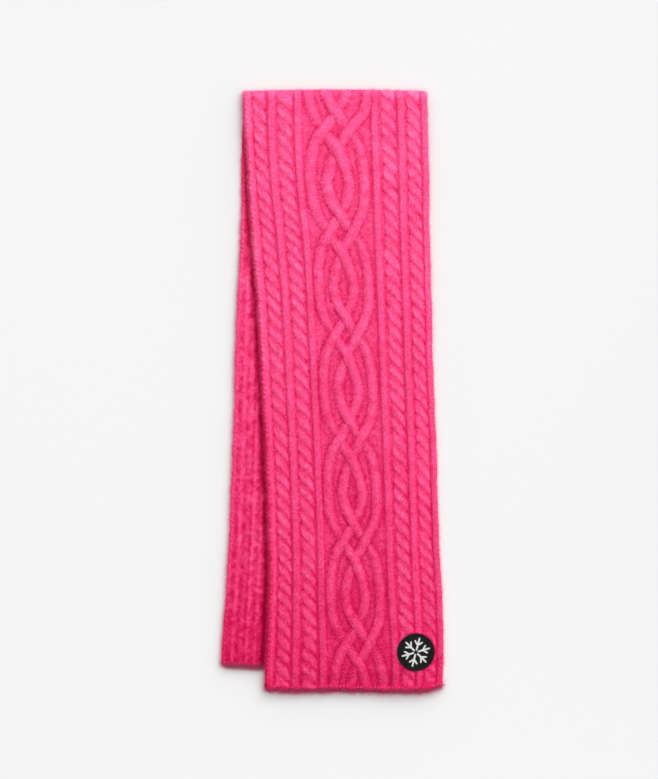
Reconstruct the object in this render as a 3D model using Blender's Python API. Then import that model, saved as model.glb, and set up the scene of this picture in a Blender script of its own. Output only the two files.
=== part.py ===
"""A cable-knit scarf, folded in half across its length and laid flat.

The scarf is one knitted strip. Its upper half, the front leaf, shows the right side: a braid of
four strands down the middle, with two rope cables and three ribs on either side of it. The lower
half, the back leaf, shows a wedge of its wrong side. A round badge is sewn on near one corner.

Units are metres. +Z is up from the surface that the scarf lies on, +Y runs from the hems to the
fold, and the origin is under the middle of the whole outline, on that surface. A place on the
strip is given by its distance from the fold's axis and its distance across from the middle.
"""
from collections import namedtuple
import math

import bmesh
import bpy

# ---- Driving sizes -----------------------------------------------------------------------------

STRIP_WIDTH = 0.252          # the strip as it was knitted, edge to edge
FRONT_LENGTH = 0.8345        # from the fold's axis to the front leaf's hem
BACK_LENGTH = 0.8005         # from the fold's axis to the back leaf's hem
GROUND = 0.0030              # the plain knitting between the ribs and cables
PRESSED = 0.0055             # the back leaf under the front one, with its cables pressed flat
SEAM_GAP = 0.0003            # between pieces that touch
FLOOR_GAP = 0.0002           # under the front leaf where it has sunk to the floor

EDGE_ROUND = 0.0042          # width over which the knitting rounds off at an edge or a hem
EDGE_LEFT = 0.14             # share of the thickness that is left at the very edge
CORNER = 0.012               # radius of the hem's corners in plan
DROOP = 0.028                # width over which the front leaf sinks beside the back one
DROOP_MARGIN = 0.003         # how far past the back leaf it starts to sink

FOLD_FROM_ORIGIN = 0.4138    # the fold's axis, along +Y from the origin
FOLD_MIDDLE = 0.0039         # the strip's middle at the fold, along X
FOLD_REACH = 0.0060          # how far the ground bulges out past the fold's axis
FOLD_BOW = 0.0026            # how far the fold's ends lie behind its middle
FOLD_BOW_REACH = 0.120       # the bow dies out at this distance from the fold
FOLD_STRETCH = 0.30          # share of the cables' height that is left where the fold stretches them
FOLD_PRESSED = 0.5           # the cables press flat over this part of the fold's lower half

ROPE_PITCH = 0.0198          # from one rope crossing to the next
ROPE_START = 0.0050          # the first crossing's distance from the fold's axis
ROPE_STRAND = 0.58           # a rope strand's width, as a share of its rope's
ROPE_LIFT = 0.0008           # how much a rope's strand rises and sinks

BRAID_PITCH = 0.1435         # from one eye of the braid to the next
BRAID_FIRST_EYE = 0.1250     # the first eye's distance from the fold's axis
BRAID_STRAND = 0.0142        # width of a braid strand
BRAID_HEIGHT = 0.0034        # height of a strand that lies on the ground
BRAID_LIFT = 0.0009          # how much a strand rises over another or sinks under it

BADGE_RADIUS = 0.02625
BADGE_THICK = 0.0012
BADGE_RIM = 0.0005           # the rim's rounding
BADGE_MIDDLE = (0.1164, -0.3653)
BADGE_BED = 0.0022           # height of the pressed cables under the badge, over the ground
BADGE_BED_MARGIN = 0.0010    # the cables are pressed this far past the badge's rim
BADGE_BED_EASE = 0.0050      # and rise again over this width

WRONG_SIDE_MARGIN = 0.0060   # the wrong side's ribs rise this far outside the front leaf

# The grid that a wall is skinned on, and the triangles that it is thinned to.
ACROSS_STEPS = 126
ALONG_STEP = 0.0033
FOLD_STEPS = 9
EDGE_SHARES = (0.35, 0.7, 0.92, 1.0)
FRONT_TRIANGLES = 11400
BACK_TRIANGLES = 3400
BADGE_SEGMENTS = 40
BADGE_RINGS = 4
WELD = 1e-6

# How each leaf lies: its middle leans away from the middle at the fold, and its sides draw in.
Outline = namedtuple("Outline", "from_fold lean half_width")
FRONT_OUTLINE = (
    Outline(0.0000, 0.0000, 0.1285),
    Outline(0.1520, 0.0060, 0.1255),
    Outline(0.3120, 0.0136, 0.1213),
    Outline(0.4820, 0.0209, 0.1198),
    Outline(0.6480, 0.0267, 0.1197),
    Outline(0.7480, 0.0277, 0.1232),
    Outline(0.8345, 0.0259, 0.1246),
)
BACK_OUTLINE = (
    Outline(0.0000, 0.0000, 0.1285),
    Outline(0.0720, -0.0040, 0.1278),
    Outline(0.2820, -0.0120, 0.1262),
    Outline(0.5620, -0.0226, 0.1238),
    Outline(0.7020, -0.0280, 0.1256),
    Outline(0.8005, -0.0318, 0.1280),
)

# The front leaf's columns have crept so far sideways, at most, by the fold and by the hem.
DRIFT_LEFT = 0.0052
DRIFT_RIGHT = 0.0067

# The ribs from the left edge to the right one. They stand a little further right than they would
# on an even strip, as it was laid by hand.
Rib = namedtuple("Rib", "middle width height")
RIBS = (
    Rib(-0.1198, 0.0124, 0.0023),
    Rib(-0.0853, 0.0112, 0.0022),
    Rib(-0.0492, 0.0110, 0.0022),
    Rib(0.0525, 0.0110, 0.0022),
    Rib(0.0888, 0.0108, 0.0022),
    Rib(0.1213, 0.0096, 0.0022),
)

# The ropes. Each one's crossings have slipped down the leaf by so many millimetres at the stations.
Rope = namedtuple("Rope", "middle width height slips")
SLIP_STATIONS = (0.06, 0.14, 0.22, 0.30, 0.38, 0.46, 0.54, 0.62, 0.70, 0.80)
ROPES = (
    Rope(-0.1026, 0.0198, 0.0034, (7.9, 7.8, 3.9, 3.2, 4.2, 6.3, 7.8, 5.4, -1.5, -4.0)),
    Rope(-0.0676, 0.0212, 0.0034, (12.5, 12.8, 5.5, 4.4, 5.1, 8.9, 9.7, 8.2, 1.8, 0.0)),
    Rope(0.0710, 0.0212, 0.0034, (3.2, 3.3, -0.4, 1.6, -0.6, -3.5, -5.0, -3.4, -4.6, -6.0)),
    Rope(0.1057, 0.0196, 0.0034, (1.8, 0.5, -1.0, -1.2, -4.4, -6.2, -5.6, -5.4, -8.0, -10.0)),
)

# The wrong side has narrow ribs where the right side has its gutters. Those on the right are hidden.
WRONG_SIDE_RIBS = (
    Rib(-0.1160, 0.0056, 0.0009),
    Rib(-0.0970, 0.0060, 0.0009),
    Rib(-0.0830, 0.0060, 0.0009),
    Rib(-0.0610, 0.0060, 0.0009),
)

# The two left strands of the braid, from one eye to the next as shares of the pitch. Each right
# strand is the mirror of a left one, and passes under where that passes over.
Strand = namedtuple("Strand", "from_eye across lift")
OUTER_STRAND = (
    Strand(0.000, -0.0360, 0.0),
    Strand(0.195, -0.0340, 0.0),
    Strand(0.322, -0.0285, -0.4),
    Strand(0.420, -0.0203, -0.9),
    Strand(0.480, -0.0155, -1.0),
    Strand(0.570, -0.0088, 0.0),
    Strand(0.663, 0.0000, 1.0),
    Strand(0.740, 0.0045, 0.8),
    Strand(0.859, 0.0106, 0.0),
    Strand(1.000, 0.0151, 0.0),
)
INNER_STRAND = (
    Strand(0.000, -0.0151, 0.0),
    Strand(0.146, -0.0112, 0.2),
    Strand(0.244, -0.0049, 0.9),
    Strand(0.312, 0.0011, 1.0),
    Strand(0.390, 0.0077, 0.0),
    Strand(0.480, 0.0163, -1.0),
    Strand(0.556, 0.0241, -0.8),
    Strand(0.654, 0.0298, 0.0),
    Strand(0.810, 0.0343, 0.0),
    Strand(1.000, 0.0360, 0.0),
)
LEAN_STEP = 0.01             # share of the pitch over which a strand's lean is measured

PINK = (0.80, 0.075, 0.235, 1.0)
BLACK = (0.012, 0.012, 0.013, 1.0)
KNIT_ROUGHNESS = 0.9
BADGE_ROUGHNESS = 0.6


# ---- Curves and profiles -----------------------------------------------------------------------

def smooth(x):
    """0 below 0 and 1 above 1, with an even ease between them."""
    x = min(1.0, max(0.0, x))
    return x * x * (3.0 - 2.0 * x)


def read_table(table, x, field):
    """A smooth curve through one field of a table, over the table's first field."""
    last = len(table) - 1
    i = 0
    while i < last - 1 and x > table[i + 1][0]:
        i += 1

    def slope(k):
        before = table[max(0, k - 1)]
        after = table[min(last, k + 1)]
        return (getattr(after, field) - getattr(before, field)) / (after[0] - before[0])

    start, end = table[i], table[i + 1]
    span = end[0] - start[0]
    t = min(1.0, max(0.0, (x - start[0]) / span))
    return ((2 * t ** 3 - 3 * t ** 2 + 1) * getattr(start, field)
            + (t ** 3 - 2 * t ** 2 + t) * span * slope(i)
            + (-2 * t ** 3 + 3 * t ** 2) * getattr(end, field)
            + (t ** 3 - t ** 2) * span * slope(i + 1))


def round_top(offset, half_width):
    """The section of a round strand or rib: 1 at its middle and 0 at its sides."""
    return math.sqrt(max(0.0, 1.0 - (offset / half_width) ** 2))


def slip(rope, from_fold):
    """How far a rope's crossings have slipped down the leaf at a distance from the fold."""
    stations = list(zip(SLIP_STATIONS, rope.slips))
    if from_fold <= stations[0][0]:
        return 0.001 * rope.slips[0]
    for (start, before), (end, after) in zip(stations, stations[1:]):
        if from_fold <= end:
            return 0.001 * (before + (after - before) * (from_fold - start) / (end - start))
    return 0.001 * rope.slips[-1]


def rope_height(rope, across, from_fold):
    """Two strands that twist round each other and swap sides at every crossing."""
    offset = across - rope.middle
    half_strand = 0.5 * rope.width * ROPE_STRAND
    swing = 0.5 * rope.width - half_strand
    turn = math.pi * (from_fold - ROPE_START - slip(rope, from_fold)) / ROPE_PITCH
    top = 0.0
    for phase in (0.0, math.pi):
        middle = -swing * math.cos(turn + phase)
        lean = swing * math.pi / ROPE_PITCH * math.sin(turn + phase)
        section = round_top((offset - middle) / math.hypot(1.0, lean), half_strand)
        top = max(top, section * (rope.height + ROPE_LIFT * math.sin(turn + phase)))
    return top


def braid_height(across, from_fold):
    """The braid's four strands over its ground."""
    x = ((from_fold - BRAID_FIRST_EYE) / BRAID_PITCH) % 1.0
    before = max(0.0, x - LEAN_STEP)
    after = min(1.0, x + LEAN_STEP)
    top = 0.0
    for table in (OUTER_STRAND, INNER_STRAND):
        middle = read_table(table, x, "across")
        moved = read_table(table, after, "across") - read_table(table, before, "across")
        spread = math.hypot(1.0, moved / ((after - before) * BRAID_PITCH))
        lift = read_table(table, x, "lift")
        for side in (1.0, -1.0):
            section = round_top((across - side * middle) / spread, 0.5 * BRAID_STRAND)
            top = max(top, section * (BRAID_HEIGHT + side * BRAID_LIFT * lift))
    return top


def right_side_height(across, from_fold):
    """Height of the ribs, ropes and braid over the ground."""
    top = braid_height(across, from_fold)
    for rib in RIBS:
        top = max(top, rib.height * round_top(across - rib.middle, 0.5 * rib.width))
    for rope in ROPES:
        if abs(across - rope.middle) < 0.5 * rope.width:
            top = max(top, rope_height(rope, across, from_fold))
    return top


def wrong_side_height(across):
    """Height of the narrow ribs on the wrong side."""
    return max(rib.height * round_top(across - rib.middle, 0.5 * rib.width)
               for rib in WRONG_SIDE_RIBS)


# ---- How the leaves lie ------------------------------------------------------------------------

def place(outline, length, from_fold, across):
    """Where a point of the strip lies in plan. The sides draw in at the hem's round corners."""
    from_fold = max(0.0, from_fold)
    to_corner = max(0.0, CORNER - (length - from_fold))
    half_width = (read_table(outline, from_fold, "half_width")
                  - CORNER * (1.0 - round_top(to_corner, CORNER)))
    share = across / (0.5 * STRIP_WIDTH)
    bow = FOLD_BOW * share ** 2 * (1.0 - smooth(from_fold / FOLD_BOW_REACH))
    x = FOLD_MIDDLE + read_table(outline, from_fold, "lean") + share * half_width
    return x, FOLD_FROM_ORIGIN - from_fold - bow


def drift(from_fold, across):
    """How far the front leaf's columns have crept sideways: left by the fold, right by the hem."""
    share = across / (0.5 * STRIP_WIDTH)
    left = smooth(1.0 - abs(from_fold - 0.085) / 0.16)
    left *= smooth((1.0 + share) / 0.2) * smooth((0.15 - share) / 0.6)
    right = smooth((from_fold - 0.68) / 0.15)
    right *= smooth((1.0 + share) / 0.8) * smooth((1.1 - share) / 0.7)
    return DRIFT_RIGHT * right - DRIFT_LEFT * left


def outside(outline, length, x, y):
    """How far a point in plan lies outside a leaf. It is below 0 between the leaf's sides."""
    from_fold = min(length, max(0.0, FOLD_FROM_ORIGIN - y))
    middle = FOLD_MIDDLE + read_table(outline, from_fold, "lean")
    past_side = abs(x - middle) - read_table(outline, from_fold, "half_width")
    past_hem = FOLD_FROM_ORIGIN - length - y
    if past_hem <= 0.0:
        return past_side
    return math.hypot(max(0.0, past_side), past_hem)


def rounding(across, from_hem):
    """Share of the thickness that is left towards an edge or a hem."""
    from_edge = 0.5 * STRIP_WIDTH - abs(across)
    share = 1.0
    for distance in (from_edge, from_hem):
        if distance < EDGE_ROUND:
            share *= EDGE_LEFT + (1.0 - EDGE_LEFT) * round_top(EDGE_ROUND - distance, EDGE_ROUND)
    return share


def badge_bed(x, y):
    """How far the cables are pressed at a point: 1 under the badge and 0 away from it."""
    past = math.dist((x, y), BADGE_MIDDLE) - BADGE_RADIUS - BADGE_BED_MARGIN
    return 1.0 - smooth(past / BADGE_BED_EASE)


def front_underside(x, y):
    """The front leaf's plain underside: on the back leaf, and sinking to the floor beside it."""
    past = outside(BACK_OUTLINE, BACK_LENGTH, x, y) - DROOP_MARGIN
    return FLOOR_GAP + (PRESSED + SEAM_GAP - FLOOR_GAP) * (1.0 - smooth(past / DROOP))


def front_points(from_fold, across):
    """The outer and the inner point of the front leaf's wall."""
    x, y = place(FRONT_OUTLINE, FRONT_LENGTH, from_fold, across)
    x += drift(from_fold, across)
    under = front_underside(x, y)
    pressed = badge_bed(x, y)
    relief = right_side_height(across, from_fold) * (1.0 - pressed) + BADGE_BED * pressed
    share = rounding(across, FRONT_LENGTH - from_fold)
    return (x, y, under + (GROUND + relief) * share), (x, y, under)


def fold_points(angle, across):
    """The outer and the inner point of the wall where it curls down round the fold.

    The angle runs from 90 degrees on top of the fold to -90 degrees on the floor.
    """
    middle_height = 0.5 * (PRESSED + SEAM_GAP + GROUND)
    x, y = place(FRONT_OUTLINE, FRONT_LENGTH, 0.0, across)
    x += drift(0.0, across)
    from_fold = middle_height * (angle - 0.5 * math.pi)
    stretched = 1.0 - (1.0 - FOLD_STRETCH) * math.cos(angle)
    pressed = 1.0 - smooth((math.sin(angle) + 1.0) / FOLD_PRESSED)
    relief = right_side_height(across, from_fold) * stretched * (1.0 - pressed)
    share = rounding(across, FRONT_LENGTH)
    inner = max(FLOOR_GAP, math.sin(angle) * (PRESSED + SEAM_GAP))
    outer_y = (FOLD_REACH + relief) * math.cos(angle) * share
    outer_z = middle_height + (middle_height + relief) * math.sin(angle)
    outer_z = inner + (outer_z - inner) * share
    return (x, y + outer_y, max(FLOOR_GAP, outer_z)), (x, y, inner)


def back_points(from_fold, across):
    """The outer and the inner point of the back leaf's wall, which lies flat on the floor."""
    x, y = place(BACK_OUTLINE, BACK_LENGTH, from_fold, across)
    past = outside(FRONT_OUTLINE, FRONT_LENGTH, x, y) - WRONG_SIDE_MARGIN
    relief = wrong_side_height(across) * smooth(past / WRONG_SIDE_MARGIN)
    share = rounding(across, BACK_LENGTH - from_fold)
    return (x, y, (PRESSED + relief) * share), (x, y, 0.0)


# ---- Meshes ------------------------------------------------------------------------------------

def make_material(name, colour, roughness):
    material = bpy.data.materials.new(name)
    material.use_nodes = True
    shader = material.node_tree.nodes["Principled BSDF"]
    shader.inputs["Base Color"].default_value = colour
    shader.inputs["Roughness"].default_value = roughness
    shader.inputs["Metallic"].default_value = 0.0
    material.diffuse_color = colour
    return material


def finish_mesh(name, mesh, material):
    """Turn a closed bmesh's faces outwards and make it an object."""
    bmesh.ops.remove_doubles(mesh, verts=mesh.verts, dist=WELD)
    bmesh.ops.triangulate(mesh, faces=mesh.faces)
    bmesh.ops.recalc_face_normals(mesh, faces=mesh.faces)
    if mesh.calc_volume(signed=True) < 0.0:
        bmesh.ops.reverse_faces(mesh, faces=mesh.faces)
    data = bpy.data.meshes.new(name)
    mesh.to_mesh(data)
    mesh.free()
    data.shade_smooth()
    data.materials.append(material)
    piece = bpy.data.objects.new(name, data)
    bpy.context.scene.collection.objects.link(piece)
    return piece


def make_wall(name, sections, material, triangles):
    """Skin a wall through its sections, close its rim, and thin its mesh.

    Each section is a list of pairs of outer and inner points, from one edge to the other.
    """
    mesh = bmesh.new()
    outer = [[mesh.verts.new(pair[0]) for pair in section] for section in sections]
    inner = [[mesh.verts.new(pair[1]) for pair in section] for section in sections]
    rows = range(len(sections) - 1)
    steps = range(len(sections[0]) - 1)
    for i in rows:
        for j in steps:
            mesh.faces.new((outer[i][j], outer[i + 1][j], outer[i + 1][j + 1], outer[i][j + 1]))
            mesh.faces.new((inner[i][j], inner[i][j + 1], inner[i + 1][j + 1], inner[i + 1][j]))
        for j in (0, -1):
            mesh.faces.new((outer[i][j], inner[i][j], inner[i + 1][j], outer[i + 1][j]))
    for j in steps:
        for i in (0, -1):
            mesh.faces.new((outer[i][j], inner[i][j], inner[i][j + 1], outer[i][j + 1]))
    wall = finish_mesh(name, mesh, material)
    thin = wall.modifiers.new("thin", "DECIMATE")
    thin.decimate_type = "COLLAPSE"
    thin.use_collapse_triangulate = True
    thin.ratio = triangles / len(wall.data.polygons)
    return wall


def stations(length):
    """Distances from the fold's axis to a hem, closer together where the hem rounds off."""
    flat = length - EDGE_ROUND
    count = round(flat / ALONG_STEP)
    return [flat * i / count for i in range(count + 1)] + [flat + EDGE_ROUND * s for s in EDGE_SHARES]


def across_positions():
    """Positions across the strip, closer together where the edges round off."""
    flat = 0.5 * STRIP_WIDTH - EDGE_ROUND
    edge = [flat + EDGE_ROUND * s for s in EDGE_SHARES]
    middle = [flat * (2.0 * i / ACROSS_STEPS - 1.0) for i in range(ACROSS_STEPS + 1)]
    return [-x for x in reversed(edge)] + middle + edge


def make_front_leaf(material):
    """The upper leaf, from its hem to the fold and down round it to the floor."""
    positions = across_positions()
    sections = [[front_points(d, a) for a in positions] for d in reversed(stations(FRONT_LENGTH))]
    for i in range(1, FOLD_STEPS + 1):
        angle = 0.5 * math.pi - math.pi * i / FOLD_STEPS
        sections.append([fold_points(angle, a) for a in positions])
    return make_wall("front_leaf", sections, material, FRONT_TRIANGLES)


def make_back_leaf(material):
    """The lower leaf, from its hem to the seam under the fold."""
    positions = across_positions()
    distances = [SEAM_GAP] + stations(BACK_LENGTH)[1:]
    sections = [[back_points(d, a) for a in positions] for d in reversed(distances)]
    return make_wall("back_leaf", sections, material, BACK_TRIANGLES)


def make_badge(material):
    """A thin disc that follows the pressed cables, with its rim rounded off."""
    mesh = bmesh.new()

    def point(radius, angle, height):
        x = BADGE_MIDDLE[0] + radius * math.cos(angle)
        y = BADGE_MIDDLE[1] + radius * math.sin(angle)
        seat = front_underside(x, y) + GROUND + BADGE_BED + SEAM_GAP
        return mesh.verts.new((x, y, seat + height))

    def ring(radius, height):
        turns = range(BADGE_SEGMENTS)
        return [point(radius, 2.0 * math.pi * i / BADGE_SEGMENTS, height) for i in turns]

    steps = [i / BADGE_RINGS for i in range(1, BADGE_RINGS + 1)]
    rings = [ring(BADGE_RADIUS * s, 0.0) for s in steps]
    rings.append(ring(BADGE_RADIUS, BADGE_THICK - BADGE_RIM))
    rings += [ring((BADGE_RADIUS - BADGE_RIM) * s, BADGE_THICK) for s in reversed(steps)]
    for lower, upper in zip(rings, rings[1:]):
        for i in range(BADGE_SEGMENTS):
            mesh.faces.new((lower[i - 1], lower[i], upper[i], upper[i - 1]))
    for circle, height in ((rings[0], 0.0), (rings[-1], BADGE_THICK)):
        hub = point(0.0, 0.0, height)
        for i in range(BADGE_SEGMENTS):
            mesh.faces.new((hub, circle[i - 1], circle[i]))
    return finish_mesh("badge", mesh, material)


# ---- The scarf ---------------------------------------------------------------------------------

for old in list(bpy.data.objects):
    bpy.data.objects.remove(old)

pink_knit = make_material("pink_knit", PINK, KNIT_ROUGHNESS)
make_front_leaf(pink_knit)
make_back_leaf(pink_knit)
make_badge(make_material("badge", BLACK, BADGE_ROUGHNESS))
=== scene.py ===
"""A cable-knit scarf, folded in half across its length and laid flat, right side up on top.

The scarf is built in the order that it is put together: the knitted strip's two leaves with
their ropes and braid, the stitches along its edges, its brushed nap, and the badge. Sizes are in
metres. A place on the strip is its distance from the fold's axis and its distance across.
"""
import math
from collections import namedtuple

import bmesh
import bpy
import numpy as np
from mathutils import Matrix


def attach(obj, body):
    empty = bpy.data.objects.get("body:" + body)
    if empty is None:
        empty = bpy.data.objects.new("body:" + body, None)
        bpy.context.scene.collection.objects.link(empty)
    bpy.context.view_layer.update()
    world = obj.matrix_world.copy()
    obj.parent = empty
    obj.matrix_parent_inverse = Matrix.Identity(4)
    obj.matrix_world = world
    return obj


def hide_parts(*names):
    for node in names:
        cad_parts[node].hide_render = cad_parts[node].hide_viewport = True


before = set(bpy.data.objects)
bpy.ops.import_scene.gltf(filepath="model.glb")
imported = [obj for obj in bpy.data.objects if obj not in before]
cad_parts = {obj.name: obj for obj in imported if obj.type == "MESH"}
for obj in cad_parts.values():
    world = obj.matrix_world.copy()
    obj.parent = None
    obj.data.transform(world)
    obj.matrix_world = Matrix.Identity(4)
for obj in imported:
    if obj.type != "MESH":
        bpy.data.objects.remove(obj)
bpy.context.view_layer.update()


# ---- The front leaf's ground ---------------------------------------------------------------------
# The upper half of the knitted strip, right side up: a ground of purl stitches and gutters, with
# ribs of knit stitches standing on it. It is one wall of brushed wool blend, which curls down
# round the fold to the floor and sinks to the floor beside the lower leaf.

STRIP_WIDTH = 0.252
FRONT_LENGTH = 0.8345
BACK_LENGTH = 0.8005
GROUND = 0.0030              # the wall between the ribs
PRESSED = 0.0055             # the lower leaf's thickness
SEAM_GAP = 0.0003
FLOOR_GAP = 0.0002
EDGE_ROUND = 0.0042
EDGE_LEFT = 0.14             # share of the thickness left at the very edge
CORNER = 0.007
DROOP = 0.028                # the upper leaf sinks to the floor over this width
DROOP_MARGIN = 0.003

FOLD_FROM_ORIGIN = 0.4138
FOLD_MIDDLE = 0.0039
FOLD_REACH = 0.0068
FOLD_HALF = 0.5 * (PRESSED + SEAM_GAP + GROUND)
FOLD_BOW = 0.0026
FOLD_BOW_REACH = 0.120
FOLD_STRETCH = 0.30
FOLD_PRESSED = 0.5

BADGE_MIDDLE = (0.1164, -0.3653)
BADGE_RADIUS = 0.02625
BADGE_BED = 0.0022           # the cables under the badge are pressed to this height
BADGE_BED_MARGIN = 0.0010
BADGE_BED_EASE = 0.0050

ROW = 0.0033                 # height of a stitch
STITCH_RELIEF = 0.00065      # how far a stitch's legs stand out
PURL_RELIEF = 0.00050
UNEVEN_RELIEF = 0.00012      # how far single stitches lie out of line
HEM_ROUND = 0.0070           # the hem rolls over this width
EDGE_LIFT = 0.0018           # how far the left edge stands off what it lies on
EDGE_LIFT_WIDTH = 0.014
EDGE_LIFT_FROM_FOLD = 0.06   # it does so fully from here on
HEM_LIFT = 0.0042
HEM_LIFT_WIDTH = 0.020
HEM_WAVE = 0.22              # how unevenly the hem lifts
EDGE_WAVER = 0.0007          # how unevenly the edges lie
DRIFT_LEFT = 0.0052          # how far the columns have crept sideways, most of all just here
DRIFT_LEFT_MIDDLE = 0.085
DRIFT_LEFT_REACH = 0.16
DRIFT_RIGHT = 0.0067         # and how far below here
DRIFT_RIGHT_FROM = 0.68
PAINTED_LIGHT_AT_FOLD = 0.24           # painted light: how much paler the wool is painted at the fold
PAINTED_LIGHT_LOST_DOWN = 0.46         # and how much of that painted light is lost down the leaf, as it falls off
PAINTED_LIGHT_LOST_LOW = 0.17          # and how much more over its last stretch
PAINTED_LIGHT_LOST_HEM = 0.07          # and just above the hem
PAINTED_HIGHLIGHT_ON_FOLD = 0.18           # painted highlight: how much paler it is painted round the fold itself
EDGE_SHADE_WIDTH = 0.0035           # painted shade along the left edge, where it rolls under, is this wide
EDGE_SHADE_WIDTH_LOW = 0.0042       # and this much wider on its lower part
HEM_SHADE_WIDTH = 0.0085            # and painted shade along the hem is this wide
HEM_SHADE_WIDTH_WAVER = 0.0014
FRINGE_FROM = 0.1215         # long loose fibres stand beyond this place across
FRINGE_REACH = 0.003         # and as thickly as they can from this much further on
FRINGE_RIGHT = 0.35          # how thick they are on the right edge, where the left one has 1
FRINGE_FOLD = 0.15           # and round the fold
FRINGE_HEM = 0.006           # they stand on this much of the hem
UNDER_ROWS = 6               # the plain underside has one row of faces for this many half rows
UNDER_COLUMNS = 6
UNDER_SHADE = 0.4
LOOSENESS = 0.35             # how much more some stitches stand out than others
RIB_SHADE = 0.14             # the painted shade at a rib's sides, where 0 is darkest and 1 palest
RIB_CROWN_SHADE = 0.60       # how much paler its crown is painted, as if lit
RIB_LEFT_PAINTED_LIGHT = 0.12        # and painted light on its left flank, against the shade that falls there
NARROW_SHADE = 0.40          # the same for the narrow ribs of the wrong side
NARROW_CROWN_SHADE = 0.27
# gutters and hollows are painted darker, where shade falls
GUTTER_SHADE = 0.22
PURL_SHADE = 0.48
HIDDEN_SHADE = 0.45
RIB_CONTRAST = 0.14          # how much paler a stitch is painted where it stands out, and darker where it sinks, on a rib
GROUND_CONTRAST = 0.30

# A leaf's middle and half width at even stations down from the fold, and how far its hem has
# drawn up at shares of its half width.
Outline = namedtuple("Outline", "from_fold lean half_width")
Hem = namedtuple("Hem", "share rise")
Leaf = namedtuple("Leaf", "length outline hem seed")
FRONT = Leaf(FRONT_LENGTH, (
    Outline(0.0000, 0.0000, 0.1285),
    Outline(0.1520, 0.0060, 0.1255),
    Outline(0.3120, 0.0136, 0.1213),
    Outline(0.4820, 0.0209, 0.1198),
    Outline(0.6480, 0.0267, 0.1197),
    Outline(0.7480, 0.0277, 0.1232),
    Outline(0.8345, 0.0259, 0.1246),
), (
    Hem(-1.00, 0.0012),
    Hem(-0.80, -0.0002),
    Hem(-0.50, 0.0000),
    Hem(0.30, -0.0014),
    Hem(0.75, -0.0008),
    Hem(0.88, 0.0014),
    Hem(1.00, 0.0066),
), 1.0)
BACK = Leaf(BACK_LENGTH, (
    Outline(0.0000, 0.0000, 0.1285),
    Outline(0.0720, -0.0040, 0.1272),
    Outline(0.1750, -0.0079, 0.1234),
    Outline(0.2820, -0.0120, 0.1246),
    Outline(0.5620, -0.0226, 0.1230),
    Outline(0.7020, -0.0280, 0.1252),
    Outline(0.8005, -0.0318, 0.1278),
), (
    Hem(-1.00, 0.0030),
    Hem(-0.80, 0.0002),
    Hem(-0.50, -0.0022),
    Hem(1.00, 0.0),
), 2.0)
HEM_DRAW = 0.050             # the hem draws up over this length

# Bands of stitches from edge to edge. A knit band's wales show as columns of Vs, and each band
# is so many wales wide. The ground under a rope is hidden.
COLUMNS_PER_WALE = {"knit": 4, "narrow": 4, "purl": 2, "gutter": 2, "hidden": 1}
Band = namedtuple("Band", "kind start wales height")
FRONT_BANDS = (
    Band("knit", -0.1260, 2, 0.0023),
    Band("gutter", -0.1136, 1, 0.0),
    Band("hidden", -0.1122, 3, 0.0016),
    Band("gutter", -0.0930, 1, 0.0),
    Band("knit", -0.0909, 2, 0.0022),
    Band("gutter", -0.0797, 1, 0.0),
    Band("hidden", -0.0778, 3, 0.0016),
    Band("gutter", -0.0574, 1, 0.0),
    Band("knit", -0.0547, 2, 0.0022),
    Band("gutter", -0.0437, 1, 0.0),
    Band("purl", -0.0415, 20, 0.0),
    Band("gutter", 0.0448, 1, 0.0),
    Band("knit", 0.0470, 2, 0.0022),
    Band("gutter", 0.0580, 1, 0.0),
    Band("hidden", 0.0608, 3, 0.0016),
    Band("gutter", 0.0812, 1, 0.0),
    Band("knit", 0.0834, 2, 0.0022),
    Band("gutter", 0.0942, 1, 0.0),
    Band("hidden", 0.0963, 3, 0.0016),
    Band("gutter", 0.1151, 1, 0.0),
    Band("knit", 0.1165, 2, 0.0022),
    Band("edge", 0.1260, 0, 0.0),
)


# Across one wale, at its seam, its left leg, its middle and its right leg: how far down the Vs
# lie, in half rows, how far every other row rises, and how deep the wool sinks.
WALE_SHIFT = np.array([0.0, 0.5, 1.0, 0.5])
WALE_RISE = np.array([0.0, 1.0, 0.2, 1.0])
WALE_SINK = np.array([1.0, 0.0, 0.7, 0.0])
NARROW_RISE = np.array([0.0, 0.6, 0.3, 0.6])


def ease(x):
    """0 below 0 and 1 above 1, with an even ease between them."""
    x = np.clip(x, 0.0, 1.0)
    return x * x * (3.0 - 2.0 * x)


def through(table, x, field):
    """A smooth curve through one field of a table, over the table's first field."""
    known = np.array([row[0] for row in table])
    value = np.array([getattr(row, field) for row in table])
    here = np.arange(len(table))
    before, after = np.maximum(here - 1, 0), np.minimum(here + 1, len(table) - 1)
    slope = (value[after] - value[before]) / (known[after] - known[before])
    i = np.clip(np.searchsorted(known, x, side="right") - 1, 0, len(table) - 2)
    span = known[i + 1] - known[i]
    t = np.clip((x - known[i]) / span, 0.0, 1.0)
    return ((2 * t ** 3 - 3 * t ** 2 + 1) * value[i] + (t ** 3 - 2 * t ** 2 + t) * span * slope[i]
            + (-2 * t ** 3 + 3 * t ** 2) * value[i + 1] + (t ** 3 - t ** 2) * span * slope[i + 1])


def round_top(offset, half_width):
    """The section of a round strand or rib: 1 at its middle and 0 at its sides."""
    return np.sqrt(np.maximum(0.0, 1.0 - (offset / half_width) ** 2))


def waver(along, seed):
    """A slow, uneven waver between about -1 and 1, as hand-laid knitting has."""
    parts = ((31.0, 0.40), (67.0, 0.28), (139.0, 0.20), (263.0, 0.12))
    return sum(share * np.sin(turn * along + seed * (1.7 + k) + k)
               for k, (turn, share) in enumerate(parts)) * math.sqrt(2.0)


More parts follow.
